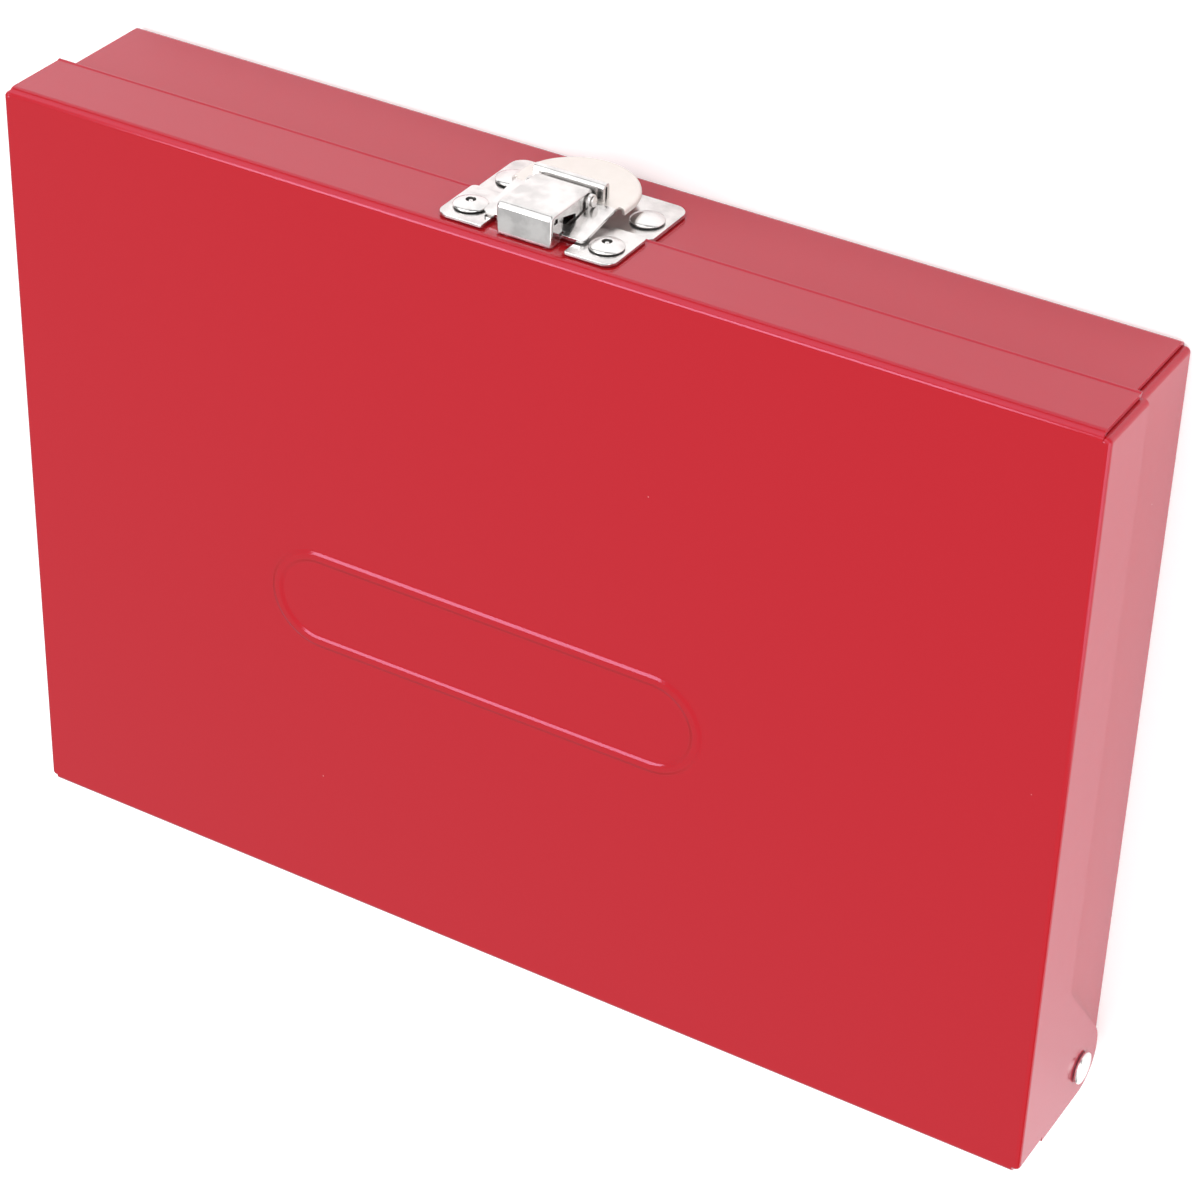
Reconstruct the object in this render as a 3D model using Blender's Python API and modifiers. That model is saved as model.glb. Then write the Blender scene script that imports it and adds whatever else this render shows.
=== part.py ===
"""Flat sheet-steel tool box: a folded tray, a folded lid hung on two end rivets, and a draw latch.

X runs along the long side, the latch is on the -Y side, the hinge is on the +Y side and +Z is up.
The closed box lies on its tray. The origin is on the table under the middle of the lid's outline.
Latch sizes called "out" are distances from the face of the lid's latch wall, away from the box.
"""
import math

import bmesh
import bpy
from mathutils import Matrix, Vector

# Case
case_width = 0.2650
case_length = 0.1892
case_height = 0.0447
sheet = 0.0009
fold_radius = 0.0020
flange_setback = 0.0032
tab_length = 0.0120
fit_gap = 0.0003
cut_margin = 0.0030

# Lid: drops are measured down from its top, reaches forward from the hinge rivet
latch_wall_drop = 0.0180
hinge_wall_drop = 0.0117
tab_relief_gap = 0.0007
ear_radius = 0.0084
ear_foot_depth = 0.0094
ear_foot_reach = 0.0038
ear_front_reach = 0.0296
ear_foot_radius = 0.0090
ear_front_radius = 0.0060
ear_lap = 0.0040

# Pressed bead on the lid: a plain long ring
bead_length = 0.1126
bead_span = 0.0262
bead_width = 0.0034
bead_height = 0.0004
bead_chamfer = 0.0005
bead_shift_x = 0.0071
bead_shift_y = 0.0107

# Tray
tray_end_inset = 0.0022
tray_latch_inset = 0.0015
tray_back_drop = 0.0067
tray_back_gap = 0.0005
tail_gap = 0.0016

# Hinge rivets
pivot_inset = 0.0096
pivot_height = 0.0148
hinge_head_radius = 0.0038
hinge_head_height = 0.0010
hinge_head_chamfer = 0.00025
hinge_shank_radius = 0.0018
hinge_tail_radius = 0.0023
hinge_tail_length = 0.0014
washer_radius = 0.0034
washer_thickness = 0.0008
washer_wall_gap = 0.0011

# Latch rivets
rivet_head_radius = 0.0038
rivet_head_height = 0.0014
rivet_edge_height = 0.0004
rivet_shank_radius = 0.0020
rivet_tail_radius = 0.0028
rivet_tail_length = 0.0030
rivet_tail_taper = 0.0015
mandrel_hole_radius = 0.0011
mandrel_hole_depth = 0.0010
rivet_clearance = 0.0002
rivet_arm_gap = 0.0004
rivet_edge_margin = 0.0010

# Keeper plate on the lid
keeper_sheet = 0.0008
keeper_seam_gap = 0.0008
keeper_overhang = 0.0004
keeper_front_radius = 0.0026
keeper_rear_radius = 0.0012
keeper_rivet_drop = 0.0063
notch_side_gap = 0.00325
notch_reach = 0.0002
notch_radius = 0.0004
catch_rise = 0.0022
catch_lap = 0.0008
catch_bend_radius = 0.0006
catch_knuckle_gap = 0.00015

# Base plate on the tray: drops are measured down from its upper edge
base_sheet = 0.0010
base_seam_gap = 0.0007
base_length = 0.0164
base_radius = 0.0032
base_front_radius = 0.0012
base_rivet_drop = 0.0066
tongue_half_width = 0.0035
tongue_slot_gap = 0.0005
tongue_start_drop = 0.0042
tongue_ramp = 0.0030
tongue_gap = 0.0004
tongue_lap = 0.0010
tongue_bend_radius = 0.0010
knuckle_wrap_degrees = 285.0

# Pins
lever_pin_drop = 0.0083
lever_pin_rise = 0.0035
pin_spacing = 0.0092
pin_offset = 0.0006
pin_radius = 0.0008
pin_clearance = 0.00015
pin_head_lip = 0.0003
pin_head_length = 0.00025

# Lever: reaches are measured up from its pin
lever_sheet = 0.0008
lever_ear_gap = 0.0009
lever_ear_margin = 0.00075
hook_ear_margin = 0.00065
ear_root_lap = 0.0002
tab_sink = 0.0009
tab_overhang = 0.0015
tab_setback = 0.0010
tab_corner_radius = 0.0008
rim_depth = 0.0009
arm_width = 0.00525
arm_kink_drop = 0.0013
arm_kink_radius = 0.0030
arm_tip_reach = 0.0013
arm_tip_gap = 0.00025
arm_tip_radius = 0.0010
ridge_gap = 0.0004
ridge_depth = 0.0024
ridge_stand = 0.0003
ridge_radius = 0.0011
ridge_overhang = 0.00085
foot_drop = 0.0018
foot_reach = 0.0005

# Hook: depths are measured in from its outer face, reaches up from the pins
hook_sheet = 0.0008
hook_side_gap = 0.00025
hook_bend_radius = 0.0013
hook_edge_radius = 0.0009
hook_wall_gap = 0.00035
knuckle_gap = 0.00025
rear_wall_depth = 0.0042
rear_wall_step = 0.0012
relief_gap = 0.0001
cheek_depth = 0.0049
cheek_reach = 0.0048
cheek_radius = 0.0008
skirt_rear_depth = 0.0033
skirt_front_depth = 0.0012
skirt_setback = 0.0007
relief_depth = 0.0018
flange_depth = 0.0025
flange_waist_depth = 0.0046
flange_foot_rise = 0.00095
flange_reach = 0.0009
flange_shoulder_reach = 0.0024
flange_toe_reach = 0.0019
lip_side_gap = 0.00145
lip_length = 0.0014
lip_lift = 0.0001

# Smoothness of round shapes
arc_steps = 4
turn_steps = 24
knuckle_steps = 18
dome_steps = 4
fold_steps = 3
weld_distance = 0.000002
grid_step = 0.000001
grid_lean_share = 0.1
flat_degrees = 0.5
sharp_degrees = 35.0

# Case places
lid_front = -case_length / 2
lid_back = case_length / 2
lid_end = case_width / 2
seam = case_height - latch_wall_drop
hinge_wall_low = case_height - hinge_wall_drop
tray_front = lid_front + tray_latch_inset
tray_end = lid_end - tray_end_inset
pivot_y = lid_back - pivot_inset
washer_clear_back = pivot_y + washer_radius + washer_wall_gap + 2 * sheet
tray_back = min(washer_clear_back, lid_back - 2 * sheet - tray_back_gap)
tray_back_height = case_height - tray_back_drop
hinge_hole_radius = hinge_shank_radius + rivet_clearance
rivet_hole_radius = rivet_shank_radius + rivet_clearance

# Latch places out from the lid's latch wall
base_seat = fit_gap - tray_latch_inset
base_top = base_seat + base_sheet
keeper_top = fit_gap + keeper_sheet
catch_top = keeper_top + catch_rise
tongue_out = keeper_top + tongue_gap + base_sheet / 2
lever_pin_out = keeper_top + lever_pin_rise
hook_pin_out = lever_pin_out + pin_offset
pin_hole_radius = pin_radius + pin_clearance
pin_head_radius = pin_radius + pin_head_lip
knuckle_radius = pin_hole_radius + base_sheet
hook_curl = knuckle_radius + knuckle_gap + hook_sheet - pin_offset
hook_out = hook_pin_out + hook_curl
ridge_out = hook_out + ridge_stand
tab_out = lever_pin_out - tab_sink
arm_tip_out = keeper_top + arm_tip_gap + lever_sheet / 2
lever_ear_round = pin_hole_radius + lever_ear_margin
hook_ear_round = pin_hole_radius + hook_ear_margin

# Latch heights
lever_pin_height = case_height - lever_pin_drop
hook_pin_height = lever_pin_height - pin_spacing
catch_front = lever_pin_height + knuckle_radius + catch_knuckle_gap + keeper_sheet
lip_rear = catch_front + fit_gap
hook_front = lip_rear + lip_length + hook_sheet
hook_rear = hook_pin_height - hook_curl
cheek_high = hook_pin_height + cheek_reach
skirt_front = hook_front - hook_sheet - skirt_setback
flange_rear = lever_pin_height + flange_reach
flange_shoulder = lever_pin_height + flange_shoulder_reach
flange_toe = lever_pin_height + flange_toe_reach
keeper_low = seam + keeper_seam_gap
keeper_high = hook_front + keeper_overhang
keeper_rivet_height = keeper_high - keeper_rivet_drop
notch_low = lever_pin_height + notch_reach
base_high = seam - base_seam_gap
base_low = base_high - base_length
base_rivet_height = base_high - base_rivet_drop
tongue_start = base_high - tongue_start_drop
ridge_high = hook_rear - ridge_gap
ridge_low = ridge_high - ridge_depth
web_high = ridge_low + lever_sheet + ear_root_lap
tab_front = ridge_high - ear_root_lap
tab_centre_height = ridge_low - tab_setback
arm_kink = hook_pin_height - arm_kink_drop
arm_tip = lever_pin_height + arm_tip_reach
foot_low = lever_pin_height - foot_drop
foot_high = lever_pin_height + foot_reach
tray_wall_top = keeper_rivet_height - rivet_tail_radius - tail_gap

# Latch half widths
lever_ear_inner = tongue_half_width + lever_ear_gap
catch_half_width = lever_ear_inner - fit_gap
lever_pin_half = lever_ear_inner + lever_sheet
hook_inside = lever_pin_half + pin_clearance + pin_head_length + hook_side_gap
hook_half_width = hook_inside + hook_sheet
lip_half_width = hook_inside - lip_side_gap
arm_inner = hook_half_width + fit_gap
hook_pin_half = arm_inner + lever_sheet
ridge_half_width = hook_pin_half + ridge_overhang
arm_outer = arm_inner + arm_width
tab_radius = arm_outer + tab_overhang
notch_half_width = hook_half_width + notch_side_gap
rivet_x = arm_outer + rivet_arm_gap + rivet_head_radius
latch_half_width = rivet_x + rivet_head_radius + rivet_edge_margin

# Joint axes
hinge_point = Vector((0, pivot_y, pivot_height))
lever_point = Vector((0, lid_front - lever_pin_out, lever_pin_height))
hook_point = Vector((0, lid_front - hook_pin_out, hook_pin_height))


def clear_scene():
    for old in list(bpy.data.objects):
        bpy.data.objects.remove(old, do_unlink=True)


def new_collection(name):
    group = bpy.data.collections.new(name)
    bpy.context.scene.collection.children.link(group)
    return group


def new_material(name, colour, metallic, roughness):
    material = bpy.data.materials.new(name)
    material.use_nodes = True
    shader = material.node_tree.nodes["Principled BSDF"]
    shader.inputs["Base Color"].default_value = (*colour, 1.0)
    shader.inputs["Metallic"].default_value = metallic
    shader.inputs["Roughness"].default_value = roughness
    return material


def frame(u_axis, v_axis, origin):
    """Matrix that puts (u, v, w) in the world, w being square to u and v."""
    u = Vector(u_axis)
    v = Vector(v_axis)
    return Matrix.Translation(origin) @ Matrix((u, v, u.cross(v))).transposed().to_4x4()


clear_scene()
parts = new_collection("metal_tool_box")
cutters = new_collection("cutters")
enamel = new_material("red_enamel", (0.56, 0.022, 0.035), 0.0, 0.22)
nickel = new_material("nickel_plate", (0.78, 0.76, 0.72), 1.0, 0.2)
rivet_metal = new_material("rivet_metal", (0.86, 0.86, 0.85), 1.0, 0.32)

# (along X, up, out of the latch wall), (up, out, along X), (back, up, along X), (along X, back, up)
latch_face = frame((1, 0, 0), (0, 0, 1), (0, lid_front, 0))
latch_side = frame((0, 0, 1), (0, -1, 0), (0, lid_front, 0))
case_side = frame((0, 1, 0), (0, 0, 1), (0, 0, 0))
case_top = frame((1, 0, 0), (0, 1, 0), (0, 0, 0))


def near(first, second):
    return abs(first - second) < weld_distance


def snap(work):
    """Put every point on a fine grid, so that faces meant to lie in one plane do.

    The lean sends all values that fall halfway between two grid lines the same way.
    """
    for vert in work.verts:
        vert.co = [round(value / grid_step - grid_lean_share) * grid_step for value in vert.co]


def tidy(work):
    bmesh.ops.remove_doubles(work, verts=work.verts, dist=weld_distance)
    angle = math.radians(flat_degrees)
    bmesh.ops.dissolve_limit(work, angle_limit=angle, verts=work.verts, edges=work.edges)
    snap(work)
    bmesh.ops.remove_doubles(work, verts=work.verts, dist=grid_step)
    bmesh.ops.recalc_face_normals(work, faces=work.faces)


def as_solid(source):
    """Welded mesh of what an object's modifiers make, standing in for the object."""
    bpy.context.view_layer.update()
    seen = source.evaluated_get(bpy.context.evaluated_depsgraph_get())
    mesh = bpy.data.meshes.new_from_object(seen)
    place = source.matrix_world.copy()
    bpy.data.objects.remove(source, do_unlink=True)
    work = bmesh.new()
    work.from_mesh(mesh)
    work.transform(place)
    tidy(work)
    work.to_mesh(mesh)
    work.free()
    return as_object(mesh)


def as_object(mesh):
    shape = bpy.data.objects.new("solid", mesh)
    shape.hide_render = True
    shape.display_type = "WIRE"
    cutters.objects.link(shape)
    return shape


def block(x_span, y_span, z_span):
    """Box between the low and high limits on each axis."""
    low = Vector((x_span[0], y_span[0], z_span[0]))
    high = Vector((x_span[1], y_span[1], z_span[1]))
    size = high - low
    work = bmesh.new()
    bmesh.ops.create_cube(work, size=1.0)
    work.transform(Matrix.Translation((low + high) / 2) @ Matrix.Diagonal((*size, 1.0)))
    snap(work)
    mesh = bpy.data.meshes.new("block")
    work.to_mesh(mesh)
    work.free()
    return as_object(mesh)


def rod(radius, low, high, place):
    """Round bar along w."""
    work = bmesh.new()
    bmesh.ops.create_cone(work, cap_ends=True, segments=turn_steps, radius1=radius,
                          radius2=radius, depth=high - low)
    work.transform(place @ Matrix.Translation((0, 0, (low + high) / 2)))
    snap(work)
    mesh = bpy.data.meshes.new("rod")
    work.to_mesh(mesh)
    work.free()
    return as_object(mesh)


def arc(centre, radius, start, sweep, steps):
    points = []
    for step in range(steps + 1):
        angle = start + sweep * step / steps
        points.append(Vector(centre) + Vector((math.cos(angle), math.sin(angle))) * radius)
    return points


def rounded(corners, closed=True):
    """Path through (u, v, radius) corners, each turned on an arc of its radius."""
    path = []
    last = len(corners) - 1
    for index, (u, v, radius) in enumerate(corners):
        here = Vector((u, v))
        if radius == 0 or (not closed and index in (0, last)):
            path.append(here)
            continue
        back = (Vector(corners[index - 1][:2]) - here).normalized()
        ahead = (Vector(corners[(index + 1) % len(corners)][:2]) - here).normalized()
        half = back.angle(ahead) / 2
        centre = here + (back + ahead).normalized() * (radius / math.sin(half))
        start = here + back * (radius / math.tan(half)) - centre
        sweep = math.copysign(math.pi - 2 * half, ahead.x * back.y - ahead.y * back.x)
        path.extend(arc(centre, radius, math.atan2(start.y, start.x), sweep, arc_steps))
    return path


def strip(path, thickness):
    """Outline of a bent sheet whose middle follows an open path."""
    left = []
    right = []
    for index, point in enumerate(path):
        back = (point - path[max(index - 1, 0)]).normalized()
        ahead = (path[min(index + 1, len(path) - 1)] - point).normalized()
        along = (back + ahead).normalized()
        square = Vector((-along.y, along.x))
        lean = max(along.dot(ahead), along.dot(back))
        reach = thickness / 2 / lean
        left.append(point + square * reach)
        right.append(point - square * reach)
    return left + right[::-1]


def mirrored(half):
    """Closed outline from its +u half, listed counter-clockwise."""
    return half + [Vector((-point.x, point.y)) for point in reversed(half)]


def plate(outlines, low, high, place):
    """Flat outlines, the second and later ones being holes, made thick from low to high along w."""
    curve = bpy.data.curves.new("outline", "CURVE")
    curve.dimensions = "2D"
    curve.fill_mode = "BOTH"
    curve.render_resolution_u = 0
    curve.extrude = (high - low) / 2
    for outline in outlines:
        spline = curve.splines.new("POLY")
        spline.points.add(len(outline) - 1)
        for point, (u, v) in zip(spline.points, outline):
            point.co = (u, v, 0, 1)
        spline.use_cyclic_u = True
    flat = bpy.data.objects.new("outline", curve)
    cutters.objects.link(flat)
    flat.matrix_world = place @ Matrix.Translation((0, 0, (low + high) / 2))
    return as_solid(flat)


def turned(profile, place, ring=False):
    """(radius, w) profile, listed down its outer side, turned about w."""
    count = len(profile)
    edges = [(index, index + 1) for index in range(count - 1)]
    if ring:
        edges.append((count - 1, 0))
    mesh = bpy.data.meshes.new("profile")
    mesh.from_pydata([(radius, 0, w) for radius, w in profile], edges, [])
    shape = bpy.data.objects.new("profile", mesh)
    cutters.objects.link(shape)
    shape.matrix_world = place
    screw = shape.modifiers.new("turn", "SCREW")
    screw.steps = turn_steps
    screw.render_steps = turn_steps
    screw.use_merge_vertices = True
    screw.merge_threshold = weld_distance
    return as_solid(shape)


def combine(target, tools, operation):
    for tool in tools:
        step = target.modifiers.new("step", "BOOLEAN")
        step.operation = operation
        step.solver = "EXACT"
        step.object = tool
    result = as_solid(target)
    for tool in tools:
        bpy.data.objects.remove(tool, do_unlink=True)
    return result


def join(target, *tools):
    return combine(target, tools, "UNION")


def cut(target, *tools):
    return combine(target, tools, "DIFFERENCE")


def common(target, *tools):
    return combine(target, tools, "INTERSECT")


def round_edges(shape, radius, steps, chosen):
    """Round every edge whose two end points pass the test."""
    work = bmesh.new()
    work.from_mesh(shape.data)
    edges = [edge for edge in work.edges if chosen(edge.verts[0].co, edge.verts[1].co)]
    bmesh.ops.bevel(work, geom=edges, offset=radius, segments=steps, profile=0.5,
                    affect="EDGES", clamp_overlap=True)
    snap(work)
    work.to_mesh(shape.data)
    work.free()
    return shape


def finish(shape, name, material, pivot=Vector((0, 0, 0))):
    cutters.objects.unlink(shape)
    parts.objects.link(shape)
    shape.name = name
    shape.hide_render = False
    shape.display_type = "TEXTURED"
    shape.data.name = name
    shape.data.transform(Matrix.Translation(-pivot))
    shape.location = pivot
    shape.data.materials.clear()
    shape.data.materials.append(material)
    shape.data.shade_smooth()
    shape.data.set_sharp_from_angle(angle=math.radians(sharp_degrees))
    return shape


def folded_block(half_x, front, back, z_span, shut, radius, ends):
    """Block with its long edges on the shut side rounded, and the end and upright ones too if asked."""
    def chosen(first, second):
        on_shut = near(first.z, shut) and near(second.z, shut)
        along = near(first.y, second.y) and near(first.z, second.z)
        upright = near(first.x, second.x) and near(first.y, second.y)
        return (on_shut and (along or ends)) or (upright and ends)
    shape = block((-half_x, half_x), (front, back), z_span)
    return round_edges(shape, radius, fold_steps, chosen)


def pan(half_x, front, back, low, high, shut_high):
    """Folded pan: end panels turn into tabs behind the long walls, which stop short of the ends."""
    shut = high if shut_high else low
    inner_span = (low - cut_margin, high - sheet) if shut_high else (low + sheet, high + cut_margin)
    inner_shut = high - sheet if shut_high else low + sheet
    inner_radius = fold_radius - sheet
    wall_half = half_x - flange_setback
    ends = folded_block(half_x, front + sheet, back - sheet, (low, high), shut, fold_radius, True)
    walls = folded_block(wall_half, front, back, (low, high), shut, fold_radius, False)
    behind_tabs = folded_block(half_x - sheet, front + 2 * sheet, back - 2 * sheet, inner_span,
                               inner_shut, inner_radius, True)
    between_tabs = folded_block(wall_half - tab_length, front + sheet, back - sheet, inner_span,
                                inner_shut, inner_radius, False)
    return cut(join(ends, walls), behind_tabs, between_tabs)


def stadium(length, span, centre):
    radius = span / 2
    reach = length / 2 - radius
    right = arc(Vector(centre) + Vector((reach, 0)), radius, -math.pi / 2, math.pi, 2 * arc_steps)
    left = arc(Vector(centre) - Vector((reach, 0)), radius, math.pi / 2, math.pi, 2 * arc_steps)
    return right + left


def bead(low, high):
    """Long plain ring with sloped upper edges."""
    centre = (bead_shift_x, bead_shift_y)
    outer = stadium(bead_length, bead_span, centre)
    inner = stadium(bead_length - 2 * bead_width, bead_span - 2 * bead_width, centre)
    ring = plate((outer, inner), low, high, case_top)
    rims = [outer, inner]

    def chosen(first, second):
        return near(first.z, high) and near(second.z, high) and any(
            min((first.xy - point).length for point in rim) < weld_distance * 2
            and min((second.xy - point).length for point in rim) < weld_distance * 2
            for rim in rims)
    return round_edges(ring, bead_chamfer, 1, chosen)


def hinge_hole(low, high):
    return rod(hinge_hole_radius, low, high,
               case_side @ Matrix.Translation((pivot_y, pivot_height, 0)))


def rivet_holes(height, low, high):
    holes = []
    for side in (-1, 1):
        place = latch_face @ Matrix.Translation((side * rivet_x, height, 0))
        holes.append(rod(rivet_hole_radius, low, high, place))
    return holes


def tray_shell():
    shell = pan(tray_end, tray_front, tray_back, 0, tray_back_height, False)
    above_walls = block((-lid_end, lid_end), (lid_front, tray_back - sheet),
                        (tray_wall_top, case_height))
    holes = rivet_holes(base_rivet_height, -cut_margin, cut_margin)
    return cut(shell, above_walls, hinge_hole(-lid_end, lid_end), *holes)


def ear(low, high):
    """Flat plate that reaches below the lid's end panel, rounded about the hinge rivet."""
    top = seam + ear_lap
    rear_top = hinge_wall_low - fit_gap
    neck = lid_back - fold_radius - sheet - ear_lap
    front = pivot_y - ear_front_reach
    rear = pivot_y + ear_radius
    foot = pivot_height - ear_foot_depth
    corners = [
        (front - ear_lap, seam, 0),
        (front, seam, ear_front_radius),
        (pivot_y - ear_foot_reach, foot, ear_foot_radius),
        (rear, foot, ear_radius),
        (rear, rear_top, 0),
        (neck, rear_top, 0),
        (neck, top, 0),
        (front - ear_lap, top, 0),
    ]
    return plate((rounded(corners),), low, high, case_side)


def lid_shell():
    shell = pan(lid_end, lid_front, lid_back, seam, case_height, True)
    behind = (lid_front + sheet, lid_front + 3 * sheet)
    relief_half = tray_end - flange_setback + tab_relief_gap
    relief = block((-relief_half, relief_half), behind, (0, tray_wall_top + fit_gap))
    outside = lid_end + cut_margin
    hinge_side = block((-outside, outside), (lid_back - fold_radius - sheet, lid_back + cut_margin),
                       (0, hinge_wall_low))
    shell = cut(shell, relief, hinge_side)
    ears = [ear(lid_end - sheet, lid_end), ear(-lid_end, sheet - lid_end)]
    shell = join(shell, *ears, bead(case_height - sheet / 2, case_height + bead_height))
    groove_top = case_height - sheet + bead_height
    groove = bead(case_height - sheet - cut_margin, groove_top)
    holes = rivet_holes(keeper_rivet_height, -cut_margin, cut_margin)
    return cut(shell, groove, hinge_hole(-outside, outside), *holes)


def hinge_side_place(side):
    """w runs outwards from the middle of the box along the hinge rivet."""
    u_axis = (0, 1, 0)
    v_axis = (0, 0, side)
    return frame(u_axis, v_axis, (0, pivot_y, pivot_height))


def hinge_rivet(side):
    seat = lid_end + fit_gap
    head = seat + hinge_head_height
    edge = hinge_head_chamfer
    tail = tray_end - sheet - 2 * fit_gap - washer_thickness
    profile = [
        (0, head),
        (hinge_head_radius - edge, head),
        (hinge_head_radius, head - edge),
        (hinge_head_radius, seat),
        (hinge_shank_radius, seat),
        (hinge_shank_radius, tail),
        (hinge_tail_radius, tail),
        (hinge_tail_radius, tail - hinge_tail_length + edge),
        (hinge_tail_radius - edge, tail - hinge_tail_length),
        (0, tail - hinge_tail_length),
    ]
    return turned(profile, hinge_side_place(side))


def hinge_ring(low, high, side):
    inner = hinge_hole_radius
    profile = [(inner, high), (washer_radius, high), (washer_radius, low), (inner, low)]
    return turned(profile, hinge_side_place(side), ring=True)


def dome(radius, top, edge, start_radius):
    """Points down a shallow dome from start_radius to its rim."""
    rise = top - edge
    ball = (radius * radius + rise * rise) / (2 * rise)
    points = []
    for step in range(dome_steps + 1):
        reach = start_radius + (radius - start_radius) * step / dome_steps
        points.append((reach, top - ball + math.sqrt(ball * ball - reach * reach)))
    return points


def latch_rivet(side, height, seat, far, hollow):
    """Dome-headed rivet through the latch wall; a blind one shows its hollow middle."""
    top = seat + rivet_head_height
    profile = []
    if hollow:
        rim = dome(rivet_head_radius, top, seat + rivet_edge_height, mandrel_hole_radius)
        profile.append((0, top - mandrel_hole_depth))
        profile.append((mandrel_hole_radius, top - mandrel_hole_depth))
    else:
        rim = dome(rivet_head_radius, top, seat + rivet_edge_height, 0)
    tail = far - fit_gap
    profile += rim
    profile += [
        (rivet_head_radius, seat),
        (rivet_shank_radius, seat),
        (rivet_shank_radius, tail),
        (rivet_tail_radius, tail),
        (rivet_tail_radius, tail - rivet_tail_length + rivet_tail_taper),
        (rivet_shank_radius, tail - rivet_tail_length),
        (0, tail - rivet_tail_length),
    ]
    return turned(profile, latch_face @ Matrix.Translation((side * rivet_x, height, 0)))


def keeper_plate():
    half = [
        (latch_half_width, keeper_low, keeper_rear_radius),
        (latch_half_width, keeper_high, keeper_front_radius),
        (notch_half_width, keeper_high, notch_radius),
        (notch_half_width, notch_low, notch_radius),
    ]
    low = fit_gap
    flat = plate((mirrored(rounded(half + [(0, notch_low, 0), (0, keeper_low, 0)])[:-2]),),
                 low, keeper_top, latch_face)
    middle = (low + keeper_top) / 2
    lip = catch_front - keeper_sheet / 2
    path = rounded([(notch_low - catch_lap, middle, 0), (lip, middle, catch_bend_radius),
                    (lip, catch_top, 0)], closed=False)
    catch = plate((strip(path, keeper_sheet),), -catch_half_width, catch_half_width, latch_side)
    return cut(join(flat, catch), *rivet_holes(keeper_rivet_height, 0, cut_margin))


def pin_hole(height, out, half_length):
    place = latch_side @ Matrix.Translation((height, out, 0))
    return rod(pin_hole_radius, -half_length, half_length, place)


def tongue():
    """Strip that climbs over the keeper plate and curls round the lever's pin."""
    curl = knuckle_radius - base_sheet / 2
    pin = Vector((lever_pin_height, lever_pin_out))
    foot = Vector((tongue_start + tongue_ramp, tongue_out))
    aim = pin - foot
    heading = math.atan2(aim.y, aim.x) - math.asin(curl / aim.length)
    touch = heading - math.pi / 2
    wrap = arc(pin, curl, touch, math.radians(knuckle_wrap_degrees), knuckle_steps)
    middle = base_top - base_sheet / 2
    path = rounded([
        (tongue_start - tongue_lap, middle, 0),
        (tongue_start, middle, tongue_bend_radius),
        (foot.x, foot.y, tongue_bend_radius),
        (wrap[0].x, wrap[0].y, 0),
    ], closed=False)
    outline = strip(path[:-1] + wrap, base_sheet)
    return plate((outline,), -tongue_half_width, tongue_half_width, latch_side)


def latch_base_plate():
    half = [
        (latch_half_width, base_low, base_radius),
        (latch_half_width, base_high, base_front_radius),
    ]
    flat = plate((mirrored(rounded(half + [(0, base_high, 0), (0, base_low, 0)])[:-2]),),
                 base_seat, base_top, latch_face)
    slot_half = tongue_half_width + tongue_slot_gap
    slot = plate((mirrored([Vector((slot_half, tongue_start)), Vector((slot_half, base_high + cut_margin))]),),
                 base_seat - cut_margin, base_top + cut_margin, latch_face)
    holes = rivet_holes(base_rivet_height, -cut_margin, cut_margin)
    return join(cut(flat, slot, *holes), tongue())


def arm_middle(height):
    """Out of the middle of the lever's sheet at a height along its sloping arms."""
    share = (height - arm_kink) / (arm_tip - arm_kink)
    return tab_out + (arm_tip_out - tab_out) * max(share, 0)


def tab_outline(radius, top):
    """Half outline of the thumb tab: a half round with straight sides above it."""
    round_part = arc((0, tab_centre_height), radius, -math.pi / 2, math.pi / 2, 2 * turn_steps // 3)
    return round_part + [Vector((radius, top))]


def across(half):
    """Open outline from the -u end to the +u end, its half starting on the middle line."""
    return [Vector((-point.x, point.y)) for point in reversed(half[1:])] + half


def lever_outline():
    tab = tab_outline(tab_radius, tab_front)[1:-1]
    arms = rounded([
        (tab_radius, tab_centre_height, 0),
        (tab_radius, tab_front, tab_corner_radius),
        (arm_outer, tab_front, 0),
        (arm_outer, arm_tip, arm_tip_radius),
        (arm_inner, arm_tip, 0),
        (arm_inner, foot_high, 0),
        (lever_ear_inner, foot_high, 0),
        (lever_ear_inner, foot_low, 0),
        (arm_inner, foot_low, 0),
        (arm_inner, web_high, 0),
    ])[1:]
    bottom = [Vector((0, tab_centre_height - tab_radius))]
    return across(bottom + tab + arms)


def pin_ears(inner, foot, centre, radius):
    """Pair of upright ears on the lever, round-topped about a pin; foot is their root, rear to front."""
    outline = list(foot) + arc(centre, radius, 0, math.pi, turn_steps // 2)
    ears = []
    for side in (-1, 1):
        low = min(side * inner, side * (inner + lever_sheet))
        ears.append(plate((outline,), low, low + lever_sheet, latch_side))
    return ears


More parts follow.
